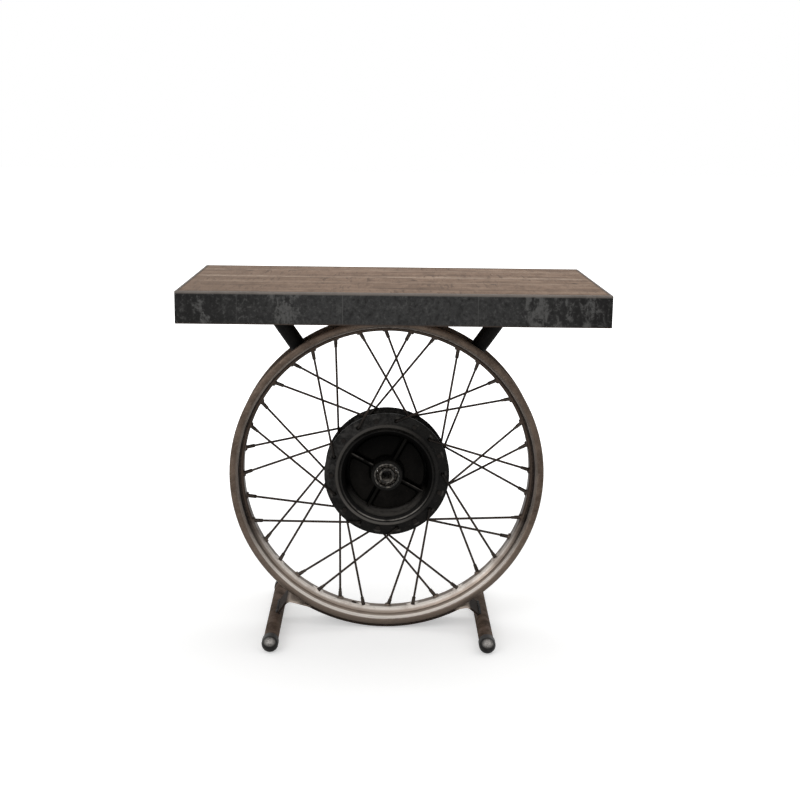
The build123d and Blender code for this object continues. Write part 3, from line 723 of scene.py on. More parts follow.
# Painted shade for the recess, its mouth and the spoke holes.
HUB_SHADE = (0.0007, 0.0006, 0.0006)
# Painted light on the bottom of the recess wall.
HUB_LIT_WALL = (0.105, 0.098, 0.089)
HUB_PATCH = (0.0300, 0.0284, 0.0268)
# Painted glint on the ring and its shoulder at the bottom.
HUB_GLINT = (0.270, 0.253, 0.232)
HUB_RIB = (0.0075, 0.0070, 0.0064)
# Dust lies thicker towards this side, from this far along it on.
DUSTY_SIDE = (-0.75, 0, 0.66)
DUSTY_REACH = (0.0, 0.075)
# Each pair is where a zone starts and where it is full: OUT from the axis, or in DEPTH.
FLANGE_OUT = (0.0780, 0.0800)
RECESS_OUT = ((0.0652, 0.0640), (0.0242, 0.0250))
RECESS_DEPTH = (0.0045, 0.0035)
RECESS_WALL = (0.0600, 0.0612)
BOTTOM_HEIGHT = (-0.020, -0.058)
RIB_DEPTH = ((-0.0113, -0.0119), (-0.0127, -0.0121))
RING_OUT = ((0.0695, 0.0708), (0.0738, 0.0724))
RING_DEPTH = (-0.0292, -0.0302)
SHOULDER_OUT = ((0.0744, 0.0754), (0.0798, 0.0784))
SHOULDER_DEPTH = (-0.0250, -0.0262)
SHOULDER_SIDE = (0.060, 0.015)
MOUTH_OUT = ((0.0638, 0.0648), (0.0704, 0.0692))
# Middle, half width and softness of a line: the spoke holes with painted shade, the painted glint outside
# them, a rib's edge.
HOLE_LINE = (0.0855, 0.0028, 0.0010)
HOLE_GLINT_LINE = (0.0905, 0.0014, 0.0010)
RIB_LINE = (0.0012, 0.0009, 0.0005)
RIB_LEAN = math.radians(28.0)
print("zones of the hub are ready")


# %% Hub material
def make_hub_paint():
    """Black paint on a cast hub: dusty flange, worn ring with painted light, painted highlight on the ribs,
    painted shade in the recess.
    """
    paint = WheelFinish("dusty_hub_paint", roughness=0.5, specular=0.12)
    radius = paint.radius
    cloud = paint.noise(48.0, 7.0, 0.68)
    speck = paint.noise(380.0, 4.0, 0.72)
    patchy = paint.noise(75.0, 5.0, 0.7)
    paint.colour = paint.mix(paint.ramp(cloud, 0.40, 0.64), HUB_BLACK, HUB_DUST)
    dusty = paint.ramp(paint.along(paint.from_hub, DUSTY_SIDE), *DUSTY_REACH)
    dusty = paint.times(dusty, paint.ramp(patchy, 0.42, 0.58), paint.ramp(radius, *FLANGE_OUT))
    paint.coat(dusty, HUB_PATCH)
    # Painted shade darkens the spoke holes, and a painted glint lies outside each one.
    beat = paint.beat()
    hole_shade = paint.times(paint.ramp(beat, 0.74, 0.90), paint.near(radius, *HOLE_LINE))
    paint.coat(paint.times(hole_shade, 0.9), HUB_SHADE)
    hole_glint = paint.times(paint.ramp(beat, 0.45, 0.80), paint.near(radius, *HOLE_GLINT_LINE))
    paint.coat(paint.times(hole_glint, paint.ramp(cloud, 0.42, 0.58, 0.7)), HUB_WORN_AND_LIT)
    paint.coat(paint.ramp(speck, 0.58, 0.74, 0.40), HUB_WORN_AND_LIT)
    # Painted shade darkens the recess.
    in_recess = paint.times(paint.between(radius, *RECESS_OUT), paint.ramp(paint.depth, *RECESS_DEPTH))
    paint.coat(paint.times(in_recess, 0.95), HUB_SHADE)
    # Painted light falls on the bottom of the recess wall, which faces up.
    at_bottom = paint.ramp(paint.part("Z", paint.from_hub), *BOTTOM_HEIGHT)
    lit_wall = paint.times(at_bottom, paint.ramp(radius, *RECESS_WALL), in_recess)
    paint.coat(paint.times(lit_wall, paint.ramp(cloud, 0.28, 0.50)), HUB_LIT_WALL)
    # Between the mouth of the recess and the ring the paint is black, with painted shade that is weaker at
    # the bottom.
    mouth_shade_strength = paint.minus(0.9, paint.times(at_bottom, 0.8))
    mouth = paint.times(paint.between(radius, *MOUTH_OUT), mouth_shade_strength)
    paint.coat(mouth, HUB_SHADE)
    # A painted highlight lies along the upper edge of the two flatter ribs, and a little on the others.
    rib_edge = paint.times(paint.between(paint.depth, *RIB_DEPTH), in_recess)
    uphill = (math.sin(RIB_LEAN), 0, math.cos(RIB_LEAN))
    rib_highlight = paint.most(paint.near(paint.along(paint.from_hub, uphill), *RIB_LINE), 0.03)
    rib_highlight = paint.times(rib_edge, paint.times(rib_highlight, paint.ramp(cloud, 0.40, 0.54)))
    # The ring and its shoulder have lost paint and carry painted light: the ring brighter at the bottom, the
    # shoulder weaker on the right.
    ring = paint.times(
        paint.between(radius, *RING_OUT),
        paint.ramp(paint.depth, *RING_DEPTH),
        paint.ramp(cloud, 0.34, 0.56, 0.9),
        paint.most(at_bottom, 0.08),
    )
    shoulder = paint.times(
        paint.between(radius, *SHOULDER_OUT),
        paint.ramp(paint.depth, *SHOULDER_DEPTH, 0.62),
        paint.most(paint.ramp(paint.part("X", paint.from_hub), *SHOULDER_SIDE), 0.15),
    )
    paint.coat(paint.times(rib_edge, 0.8), HUB_RIB)
    paint.coat(paint.most(rib_highlight, paint.most(ring, shoulder)), HUB_WORN_AND_LIT)
    # A painted glint lies on the ring and its shoulder at the bottom.
    lip_glint = paint.most(ring, paint.times(shoulder, 0.35))
    paint.coat(paint.times(lip_glint, at_bottom), HUB_GLINT)
    # The recess, its mouth and the holes with painted shade are dull; the rest keeps a little gloss.
    dull = paint.most(in_recess, mouth, hole_shade)
    paint.feed("Specular IOR Level", paint.ramp(dull, 0.0, 1.0, 0.015, 0.12))
    paint.feed("Roughness", paint.ramp(cloud, 0.35, 0.65, 0.62, 0.38))
    return paint.done(paint.plus(cloud, paint.times(speck, 0.4)), 0.5, 0.0012)


dress(["hub_shell"], make_hub_paint())
print("hub dressed")

# %% [markdown]
# ## Pads, spokes and cradle
#
# The rubber pads in the hub are black, with painted shade at the top and lighter below.
# The spokes are rusty wire, oily near the hub. The cradle is a brown flat bar whose shelves
# beside the wheel get a pale painted highlight. Each of these zones could be a material of its
# own on some faces, but its edge would be sharp; a mask by place gives it a soft one.

# %% Cush pad rubber
PAD_BLACK = (0.0012, 0.0011, 0.0010)
# The lighter tone low in the recess, below the painted shade.
PAD_LIT = (0.0092, 0.0082, 0.0072)
PAD_SPECK = (0.0150, 0.0132, 0.0115)
PAD_HEIGHTS = (wheel_centre.z + 0.055, wheel_centre.z - 0.015)


def make_pad_rubber():
    """Matt rubber: painted shade high in the recess, lighter low in it."""
    rubber = Finish("pad_rubber", roughness=0.75, specular=0.05)
    cloud, speck = rubber.cloud_and_speck(35.0, 260.0)
    # Painted shade keeps the pads black high up; lower down they are lighter and speckled.
    low_down = rubber.ramp(rubber.part("Z"), *PAD_HEIGHTS)
    rubber.colour = rubber.mix(rubber.times(low_down, rubber.ramp(cloud, 0.20, 0.55)), PAD_BLACK, PAD_LIT)
    rubber.coat(rubber.times(low_down, rubber.ramp(speck, 0.56, 0.74, 0.7)), PAD_SPECK)
    return rubber.done(rubber.plus(speck, cloud), 0.4, 0.0004)


dress([name for name in nodes if name.startswith("cush_rubber_")], make_pad_rubber())
print("pads dressed")

# %% Spoke wire
SPOKE_RUST = (0.052, 0.036, 0.028)
SPOKE_WORN = (0.125, 0.084, 0.061)
SPOKE_GRIME = (0.021, 0.0145, 0.0115)
SPOKE_OILY = (0.0065, 0.0055, 0.0048)
OILY_WITHIN = (0.108, 0.092)


def make_spoke_metal():
    """Rusty wire that is black with old oil close to the hub."""
    wire = WheelFinish("rusty_spoke", metallic=0.5, roughness=0.5, specular=0.3)
    cloud, speck = wire.cloud_and_speck(90.0, 600.0)
    wire.colour = wire.mix(wire.ramp(cloud, 0.42, 0.62), SPOKE_RUST, SPOKE_GRIME)
    wire.coat(wire.ramp(speck, 0.54, 0.70, 0.8), SPOKE_WORN)
    wire.coat(wire.ramp(wire.radius, *OILY_WITHIN, 0.85), SPOKE_OILY)
    return wire.done(wire.plus(speck, cloud), 0.4, 0.0003)


dress([name for name in nodes if name.startswith("spokes_")], make_spoke_metal())
print("spokes dressed")

# %% Cradle paint
CRADLE_BROWN = (0.026, 0.0185, 0.0145)
CRADLE_WORN = (0.070, 0.051, 0.040)
# Pale painted highlight on the shelves' upper faces.
CRADLE_SHELF_HIGHLIGHT = (0.520, 0.430, 0.360)
# The part of each shelf with the painted highlight, in distance from the wheel's centre along x.
LEFT_SHELF = ((0.115, 0.126), (0.155, 0.150))
RIGHT_SHELF = ((0.108, 0.118), (0.134, 0.130))


def make_cradle_paint():
    """Brown flat bar whose shelves beside the wheel get a pale painted highlight."""
    paint = Finish("worn_cradle", roughness=0.6, specular=0.06)
    cloud, speck = paint.cloud_and_speck(40.0, 280.0)
    paint.colour = paint.mix(paint.ramp(speck, 0.52, 0.70, 0.7), CRADLE_BROWN, CRADLE_WORN)
    right_off = paint.minus(paint.part("X"), wheel_centre.x)
    left_off = paint.times(right_off, -1.0)
    shelf = paint.most(paint.between(left_off, *LEFT_SHELF), paint.between(right_off, *RIGHT_SHELF))
    paint.coat(paint.times(shelf, paint.ramp(cloud, 0.34, 0.52)), CRADLE_SHELF_HIGHLIGHT)
    return paint.done(paint.plus(speck, cloud), 0.4, 0.0004)


dress(["cradle_strap"], make_cradle_paint())
print("cradle dressed")

# %% [markdown]
# ## Bearing races
#
# The races are ground steel under old grease. Their end faces show bare glints, while the
# bore is dull with dust, because no axle has run in it for years. Two materials could do
# this; one with a mask by radius keeps the glints and the dust on the same noise.

# %% Race material
RACE_GREASE = (0.012, 0.0105, 0.009)
RACE_BARE = (0.20, 0.185, 0.165)
RACE_BORE = (0.060, 0.054, 0.048)
BORE_FROM = 0.00935
BORE_FULL = 0.00875
RACE_SPECULAR = 0.4


def make_race_steel():
    """Greasy steel that is dull inside the bore."""
    steel = WheelFinish("greasy_race", roughness=0.4, specular=RACE_SPECULAR)
    cloud = steel.noise(230.0, 5.0, 0.7)
    glint = steel.ramp(cloud, 0.50, 0.62)
    steel.colour = steel.mix(glint, RACE_GREASE, RACE_BARE)
    steel.coat(steel.ramp(steel.radius, BORE_FROM, BORE_FULL), RACE_BORE)
    outside_bore = steel.ramp(steel.radius, BORE_FULL, BORE_FROM)
    steel.feed("Metallic", steel.times(glint, outside_bore))
    steel.feed("Specular IOR Level", steel.times(outside_bore, RACE_SPECULAR))
    return steel.done(cloud, 0.5, 0.0004)


dress([name for name in nodes if name.endswith("_race")], make_race_steel())
print("races dressed")

# %% [markdown]
# ## Working in edit mode
#
# The new pieces start as primitives and are shaped in edit mode, as by hand. A vertex list
# in code would be shorter, but nobody could read the shape from it. These helpers select
# vertices or faces by where they are, so that each step says in numbers what it works on.

# %% Helpers for edit mode
TINY = 0.01 * MM
FACING = 0.9
QUARTERS = ((1, 0), (0, 1), (-1, 0), (0, -1))


def start_shape(operator, name, **settings):
    """Add a primitive at the origin, name it and enter edit mode with nothing selected."""
    if bpy.context.object and bpy.context.object.mode != "OBJECT":
        bpy.ops.object.mode_set(mode="OBJECT")
    bpy.ops.object.select_all(action="DESELECT")
    operator(location=(0, 0, 0), **settings)
    made = bpy.context.object
    made.name = name
    bpy.ops.object.mode_set(mode="EDIT")
    bpy.ops.mesh.select_all(action="DESELECT")
    return made


def pick_faces(test):
    """Select only the faces whose middle and normal pass a test."""
    pick(True, lambda face: test(face.calc_center_median(), face.normal))


def pick_vertices(test=lambda co: True):
    """Select only the vertices whose place passes a test, or all of them."""
    pick(False, lambda vertex: test(vertex.co))


def pick(in_faces, test):
    """Select the faces or vertices that pass a test, and nothing else."""
    mesh = bpy.context.object.data
    shape = bmesh.from_edit_mesh(mesh)
    bpy.ops.mesh.select_all(action="DESELECT")
    bpy.context.tool_settings.mesh_select_mode = (not in_faces, False, in_faces)
    for item in shape.faces if in_faces else shape.verts:
        if test(item):
            item.select = True
    shape.select_flush(True)
    bmesh.update_edit_mesh(mesh)


def raise_by(height):
    """Extrude the selected faces along z."""
    bpy.ops.mesh.extrude_region_move(TRANSFORM_OT_translate={"value": (0, 0, height)})


def resize_about(centre, factors):
    """Scale what is selected about a point."""
    bpy.ops.transform.resize(value=factors, center_override=centre)


def narrow_at(height, factor):
    """Scale what is selected towards the z axis."""
    resize_about((0, 0, height), (factor, factor, 1))


def flatten_sides(on_ring, reach, half, height):
    """Push a ring of vertices to four flat sides, half their distance from the axis."""
    for way in QUARTERS:
        side = Vector((*way, 0))
        pick_vertices(lambda co: on_ring(co) and co.dot(side) > reach)
        resize_about(side * half + Vector((0, 0, height)), (0, 1, 1) if way[0] else (1, 0, 1))


def end_shape(smooth_angle=35.0):
    """Leave edit mode with outward normals and smooth shading up to an angle."""
    bpy.ops.mesh.select_all(action="SELECT")
    bpy.ops.mesh.normals_make_consistent(inside=False)
    bpy.ops.object.mode_set(mode="OBJECT")
    made = bpy.context.object
    bpy.ops.object.select_all(action="DESELECT")
    made.select_set(True)
    bpy.ops.object.shade_smooth_by_angle(angle=math.radians(smooth_angle))
    return made


print("edit mode helpers are ready")

# %% Helpers for finished pieces


def place_copies(pattern, name, places):
    """Join copies of a pattern, one per matrix, into one piece at the origin."""
    bpy.ops.object.select_all(action="DESELECT")
    for place in places:
        copy = pattern.copy()
        copy.data = pattern.data.copy()
        copy.data.transform(place)
        bpy.context.scene.collection.objects.link(copy)
        copy.select_set(True)
        if place is places[0]:
            bpy.context.view_layer.objects.active = copy
    bpy.ops.object.join()
    joined = bpy.context.object
    joined.name = name
    joined.data.name = name
    return joined


def finish_piece(piece, material, body="table", instead_of=()):
    """Give a new piece its material and body, and hide what it stands for."""
    piece.data.materials.clear()
    piece.data.materials.append(material)
    if instead_of:
        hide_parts(*instead_of)
    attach(piece, body)
    print(piece.name, "faces", len(piece.data.polygons))


def turned_to(direction, place, roll=0.0):
    """Matrix that puts the origin at a place and +Z along a direction."""
    turn = Vector(direction).to_track_quat("Z", "Y").to_matrix().to_4x4()
    return Matrix.Translation(Vector(place)) @ turn @ Matrix.Rotation(roll, 4, "Z")


print("piece helpers are ready")

# %% [markdown]
# ## Spoke nipples
#
# A nipple is a small tapered nut. Its round head sits in the rim with a screwdriver slot, its
# body narrows towards the hub and ends in four flats for the spoke key. It could be turned
# as a lathe profile, but the flats and the slot aren't round, so a cylinder is extruded and
# pressed flat. One is modelled and copied to all 36 spokes, from the elbow at the hub flange
# to the stagger of holes in the rim's well.

# %% One nipple
HEAD_RADIUS = 4.25 * MM
HEAD_HEIGHT = 2.4 * MM
HEAD_START = 1.4 * MM
HEAD_TOP = HEAD_START + HEAD_HEIGHT
BODY_RADIUS = 3.1 * MM
TIP_RADIUS = 2.65 * MM
BODY_LENGTH = 15.0 * MM
FLATS_LENGTH = 5.0 * MM
FLATS_TOP = FLATS_LENGTH - BODY_LENGTH
FLAT_HALF = 2.25 * MM
CHAMFER = 0.4 * MM
FLATS_Z = FLATS_TOP - CHAMFER
TAPER = (TIP_RADIUS / BODY_RADIUS) * 0.5 + 0.5
TIP_FACTOR = 0.84
CROWN_FACTOR = 0.88
SLOT_MARGIN = 0.7 * MM
SLOT_HALF = 0.55 * MM
SLOT_DEPTH = 1.1 * MM
TOP_WITHIN = 2 * MM
SLOT_WITHIN = 0.3 * MM

nipple = start_shape(
    bpy.ops.mesh.primitive_cylinder_add, "nipple_pattern", vertices=16, radius=HEAD_RADIUS, depth=HEAD_HEIGHT
)
bpy.ops.mesh.select_all(action="SELECT")
bpy.ops.transform.translate(value=(0, 0, HEAD_START + HEAD_HEIGHT / 2))
pick_faces(lambda middle, normal: normal.z < -FACING)
bpy.ops.mesh.inset(thickness=HEAD_RADIUS - BODY_RADIUS)
raise_by(-(HEAD_START + BODY_LENGTH - FLATS_LENGTH))
narrow_at(FLATS_TOP, TAPER)
raise_by(-CHAMFER)
flatten_sides(lambda co: abs(co.z - FLATS_Z) < TINY, BODY_RADIUS * 0.8, FLAT_HALF, FLATS_Z)
pick_faces(lambda middle, normal: normal.z < -FACING and middle.z < FLATS_Z + TINY)
raise_by(-(FLATS_LENGTH - 2 * CHAMFER))
raise_by(-CHAMFER)
narrow_at(-BODY_LENGTH, TIP_FACTOR)
# The slot in the head: cut the top face twice and sink the strip between the cuts.
pick_faces(lambda middle, normal: normal.z > FACING and middle.z > HEAD_TOP - TINY)
bpy.ops.mesh.inset(thickness=SLOT_MARGIN)
for side_y in (-SLOT_HALF, SLOT_HALF):
    pick_faces(lambda middle, normal: normal.z > FACING and middle.xy.length < TOP_WITHIN)
    bpy.ops.mesh.bisect(plane_co=(0, side_y, 0), plane_no=(0, 1, 0))
pick_faces(lambda middle, normal: normal.z > FACING and middle.xy.length < SLOT_WITHIN)
raise_by(-SLOT_DEPTH)
pick_vertices(lambda co: co.z > HEAD_TOP - TINY and co.xy.length > HEAD_RADIUS * 0.95)
narrow_at(HEAD_TOP, CROWN_FACTOR)
nipple = end_shape()
print("nipple faces", len(nipple.data.polygons))

# %% Places of the nipples
SPOKE_SWEEP = math.radians(40.0)
HOLE_CIRCLE = 85.5 * MM
STAGGER = 5.5 * MM
ELBOW_OUTSIDE = 28.3 * MM
ELBOW_INSIDE = 17.7 * MM
SPOKES_PER_FAMILY = 9
# Family: side, angle of its first nipple, way of its sweep, depth of its elbow.
SPOKE_FAMILIES = [
    (-1, 0.0, 1, ELBOW_OUTSIDE),
    (-1, SPOKE_PITCH, -1, ELBOW_INSIDE),
    (1, -SPOKE_PITCH / 2, 1, ELBOW_INSIDE),
    (1, SPOKE_PITCH / 2, -1, ELBOW_OUTSIDE),
]


def on_wheel(radius, angle, depth):
    """Point at a radius and an angle of the wheel, at y = depth."""
    turned = angle + WHEEL_TURN
    return wheel_centre + Vector((radius * math.cos(turned), depth, radius * math.sin(turned)))


chance = random.Random(7)
nipple_places = {-1: [], 1: []}
for side, first, sweep_way, elbow_depth in SPOKE_FAMILIES:
    for number in range(SPOKES_PER_FAMILY):
        nipple_angle = first + 2 * SPOKE_PITCH * number
        elbow = on_wheel(HOLE_CIRCLE, nipple_angle + sweep_way * SPOKE_SWEEP, side * elbow_depth)
        seat = on_wheel(WELL_MIDDLE, nipple_angle, side * STAGGER)
        nipple_places[side].append(turned_to(seat - elbow, seat, chance.uniform(0, math.pi)))
for side, side_name in ((-1, "front"), (1, "rear")):
    piece = place_copies(nipple, f"worn_nipples_{side_name}", nipple_places[side])
    finish_piece(piece, aged_finishes["aged_nipple"], instead_of=(f"nipples_{side_name}",))
    cad_bottom, cad_top = (corner.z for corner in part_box(f"nipples_{side_name}"))
    heights = [corner[2] for corner in piece.bound_box]
    off = max(abs(min(heights) - cad_bottom), abs(max(heights) - cad_top))
    print(piece.name, "is off its CAD box by mm", round(off / MM, 3))
bpy.data.objects.remove(nipple)

# %% [markdown]
# ## Bearing cages
#
# A ball bearing's cage is two thin pressed ribbons that bulge round each ball and touch
# between the balls. A curve with a flat profile could follow the wave, but it would twist. A
# flat ring with 128 sides keeps its faces square: it is pushed out step by step where a ball
# passes, so that it follows the ball's roundness. The second ribbon is its mirror.

# %% Ribbon cages
BALL_PITCH = 14.25 * MM
POCKET_RADIUS = 3.5 * MM
RIBBON_THICK = 0.45 * MM
RIBBON_HALF = 1.15 * MM
RIBBON_SIDES = 128
STEP_ANGLE = 2 * math.pi / RIBBON_SIDES
BALL_ANGLE = 2 * math.pi / 8
RIBBON_SMOOTH = 50.0
# A ribbon's own axes: x stays x, y becomes z, and z faces the front or the rear.
TOWARDS_FRONT = Matrix(((1, 0, 0, 0), (0, 0, -1, 0), (0, 1, 0, 0), (0, 0, 0, 1)))
TOWARDS_REAR = Matrix(((1, 0, 0, 0), (0, 0, 1, 0), (0, 1, 0, 0), (0, 0, 0, 1)))


def near_ball(co, limit):
    """Whether a point lies within an angle of a ball's middle."""
    angle = math.atan2(co.y, co.x) - WHEEL_TURN
    return abs((angle + BALL_ANGLE / 2) % BALL_ANGLE - BALL_ANGLE / 2) < limit


def make_ribbon(name):
    """One wavy ribbon that bulges towards +Z."""
    start_shape(
        bpy.ops.mesh.primitive_cylinder_add,
        name,
        vertices=RIBBON_SIDES,
        radius=BALL_PITCH + RIBBON_HALF,
        depth=RIBBON_THICK,
        end_fill_type="NGON",
    )
    for way in (1, -1):
        pick_faces(lambda middle, normal: normal.z * way > FACING)
        bpy.ops.mesh.inset(thickness=2 * RIBBON_HALF)
    # The two inner faces are bridged, which opens the ring.
    pick_faces(lambda middle, normal: abs(normal.z) > FACING and middle.xy.length < TINY)
    bpy.ops.mesh.bridge_edge_loops()
    pick_vertices()
    bpy.ops.transform.translate(value=(0, 0, RIBBON_THICK / 2))
    lifted = 0.0
    # From the foot of a bulge to its top, each step lifts a narrower part of the ring.
    for reach in (4, 3, 2, 1, 0):
        across = BALL_PITCH * STEP_ANGLE * reach
        height = math.sqrt(POCKET_RADIUS**2 - across**2)
        pick_vertices(lambda co: near_ball(co, (reach + 0.5) * STEP_ANGLE))
        bpy.ops.transform.translate(value=(0, 0, height - lifted))
        lifted = height
    return end_shape(RIBBON_SMOOTH)


for side_name in ("front", "rear"):
    race_low, race_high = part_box(f"{side_name}_outer_race")
    ribbon = make_ribbon(f"{side_name}_ribbon")
    to_race = Matrix.Translation((wheel_centre.x, (race_low.y + race_high.y) / 2, wheel_centre.z))
    cage = place_copies(ribbon, f"{side_name}_ribbon_cage", [to_race @ TOWARDS_FRONT, to_race @ TOWARDS_REAR])
    bpy.ops.object.mode_set(mode="EDIT")
    end_shape(RIBBON_SMOOTH)
    stands_for = (f"{side_name}_bearing_cage",)
    finish_piece(cage, aged_finishes["greasy_cage"], f"{side_name}_ball_set", stands_for)
    bpy.data.objects.remove(ribbon)

# %% [markdown]
# ## Old grease in the bore
#
# Dried grease and dust lie along the bottom of the axle's bore, as in any wheel that has
# stood for years. Sculpting would make it lumpy in a way that no one could repeat, so the
# deposit starts as a cylinder: a cut leaves its lowest slice, more cuts give it rows and
# columns, and its top is pushed up and down by chance with a fixed seed.

# %% Grease
BORE_RADIUS = 8.45 * MM
GREASE_HEIGHT = 2.7 * MM
GREASE_TOP = GREASE_HEIGHT - BORE_RADIUS
GREASE_MARGIN = 1.0 * MM
GREASE_ROWS = 18
GREASE_COLUMNS = (-3.4 * MM, -1.2 * MM, 1.2 * MM, 3.4 * MM)
LUMPS = (-0.7, 0.5)
GREASE_SMOOTH = 60.0
bore_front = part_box("front_inner_race")[0].y
bore_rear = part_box("rear_inner_race")[1].y
bore_length = bore_rear - bore_front - GREASE_MARGIN
rows = [-bore_length / 2 + bore_length * row / GREASE_ROWS for row in range(GREASE_ROWS + 1)]

start_shape(
    bpy.ops.mesh.primitive_cylinder_add, "bore_grease", vertices=48, radius=BORE_RADIUS, depth=bore_length
)
pick_vertices()
bpy.ops.transform.rotate(value=math.pi / 2, orient_axis="X", center_override=(0, 0, 0))
bpy.ops.mesh.bisect(plane_co=(0, 0, GREASE_TOP), plane_no=(0, 0, 1), clear_outer=True, use_fill=True)
for row_y in rows[1:-1]:
    pick_vertices()
    bpy.ops.mesh.bisect(plane_co=(0, row_y, 0), plane_no=(0, 1, 0))
for column_x in GREASE_COLUMNS:
    pick_vertices()
    bpy.ops.mesh.bisect(plane_co=(column_x, 0, 0), plane_no=(1, 0, 0))


def at_crossing(co):
    """Whether a point of the top lies where the row and the column of the loops meet."""
    return abs(co.y - row_y) < TINY and abs(co.x - column_x) < TINY and co.z > GREASE_TOP - TINY


grease_chance = random.Random(11)
for row_y in rows:
    for column_x in GREASE_COLUMNS:
        pick_vertices(at_crossing)
        bpy.ops.transform.translate(value=(0, 0, grease_chance.uniform(*LUMPS) * MM))
grease = end_shape(GREASE_SMOOTH)
grease.data.transform(Matrix.Translation((wheel_centre.x, (bore_front + bore_rear) / 2, wheel_centre.z)))
finish_piece(grease, aged_finishes["bore_dirt"], "spindle")

# %% [markdown]
# ## Screws under the top
#
# Wood screws with a round head and a square socket hold the planks down through the straps.
# A thread would never show, as the shank is in the wood, so the shank is plain. The head is
# a cylinder whose rim is drawn in; the socket is an inset square that is sunk into it.

# %% One screw
SCREW_RADIUS = 2.5 * MM
SCREW_HEAD = 4.7 * MM
SCREW_HEAD_HEIGHT = 2.8 * MM
SCREW_LENGTH = 28.0 * MM
POINT_LENGTH = 6 * MM
POINT_FACTOR = 0.1
HEAD_FACTOR = 0.80
SOCKET_MARGINS = (1.1 * MM, 1.6 * MM)
SOCKET_WITHIN = 2.5 * MM
SOCKET_REACH = 1.35 * MM
SOCKET_HALF = 1.4 * MM
SOCKET_DEPTH = 1.6 * MM


def on_head(co):
    """Whether a point lies on the free end of the head."""
    return co.z < -SCREW_HEAD_HEIGHT + TINY


screw = start_shape(
    bpy.ops.mesh.primitive_cylinder_add, "screw_pattern",
    vertices=24, radius=SCREW_HEAD, depth=SCREW_HEAD_HEIGHT
)
pick_vertices()
bpy.ops.transform.translate(value=(0, 0, -SCREW_HEAD_HEIGHT / 2))
pick_faces(lambda middle, normal: normal.z > FACING)
bpy.ops.mesh.inset(thickness=SCREW_HEAD - SCREW_RADIUS)
raise_by(SCREW_LENGTH - POINT_LENGTH)
raise_by(POINT_LENGTH)
narrow_at(SCREW_LENGTH, POINT_FACTOR)
pick_faces(lambda middle, normal: normal.z < -FACING)
bpy.ops.mesh.inset(thickness=SOCKET_MARGINS[0])
raise_by(0)
bpy.ops.mesh.inset(thickness=SOCKET_MARGINS[1])
flatten_sides(
    lambda co: on_head(co) and co.xy.length < SOCKET_WITHIN, SOCKET_REACH, SOCKET_HALF, -SCREW_HEAD_HEIGHT
)
pick_faces(lambda middle, normal: normal.z < -FACING and middle.xy.length < 10 * TINY)
raise_by(SOCKET_DEPTH)
pick_vertices(lambda co: on_head(co) and co.xy.length > SCREW_HEAD * 0.95)
narrow_at(-SCREW_HEAD_HEIGHT, HEAD_FACTOR)
screw = end_shape()
print("screw faces", len(screw.data.polygons))

# %% Places of the screws
HEAD_SPACING = 12 * MM
MOST_TURN = 1.5

# The lowest points of the CAD screws are their heads; points that lie close are one head.
screw_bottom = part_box("strap_screws")[0].z
heads = []
for vertex in nodes["strap_screws"].data.vertices:
    if vertex.co.z < screw_bottom + TINY:
        head = next((head for head in heads if (head[0] - vertex.co).length < HEAD_SPACING), None)
        if head is None:
            heads.append([vertex.co.copy()])
        else:
            head.append(vertex.co.copy())
screw_places = []
for head in heads:
    middle_x, middle_y = (
        (min(point[axis] for point in head) + max(point[axis] for point in head)) / 2 for axis in (0, 1)
    )
    turn = Matrix.Rotation(chance.uniform(0, MOST_TURN), 4, "Z")
    screw_places.append(Matrix.Translation((middle_x, middle_y, band_low.z)) @ turn)
print("screws found", len(screw_places))
screws = place_copies(screw, "socket_screws", screw_places)
finish_piece(screws, aged_finishes["plain_screw"], instead_of=("strap_screws",))
bpy.data.objects.remove(screw)

# %% [markdown]
# ## Weld beads
#
# Every joint of the stand is welded by hand: a row of overlapping ripples, like fallen
# coins. A tube with a bump map would have a smooth outline, so the ripples are real. One is
# a flattened sphere whose underside is cut away. It is copied along each seam with a little
# chance in size and place, and each seam becomes one piece.

# %% One ripple
RIPPLE_SHAPE = (0.62, 1.0, 0.55)
RIPPLE_CUT = -0.25
RIPPLE_SMOOTH = 60.0
SIZE_RANGE = (0.88, 1.12)
NUDGE_RANGE = (-0.12, 0.12)

start_shape(bpy.ops.mesh.primitive_uv_sphere_add, "ripple_pattern", segments=10, ring_count=6, radius=1.0)
pick_vertices()
resize_about((0, 0, 0), RIPPLE_SHAPE)
bpy.ops.mesh.bisect(plane_co=(0, 0, RIPPLE_CUT), plane_no=(0, 0, 1), clear_inner=True, use_fill=True)
ripple = end_shape(RIPPLE_SMOOTH)
print("ripple faces", len(ripple.data.polygons))


def weld(name, points, normals, half_width):
    """Lay ripples along a line of points; normals point out of the joint."""
    places = []
    for number, point in enumerate(points):
        before = points[max(0, number - 1)]
        after = points[min(len(points) - 1, number + 1)]
        along = (after - before).normalized()
        out = (normals[number] - along * normals[number].dot(along)).normalized()
        across = out.cross(along)
        size = half_width * chance.uniform(*SIZE_RANGE)
        nudge = across * half_width * chance.uniform(*NUDGE_RANGE)
        turn = Matrix((along, across, out)).transposed().to_4x4()
        places.append(Matrix.Translation(point + nudge) @ turn @ Matrix.Scale(size, 4))
    finish_piece(place_copies(ripple, name, places), aged_finishes["painted_weld"])


def straight(start, end, pitch):
    """Points from start to end, a pitch apart."""
    run = end - start
    steps = max(1, round(run.length / pitch))
    return [start + run * (number / steps) for number in range(steps + 1)]


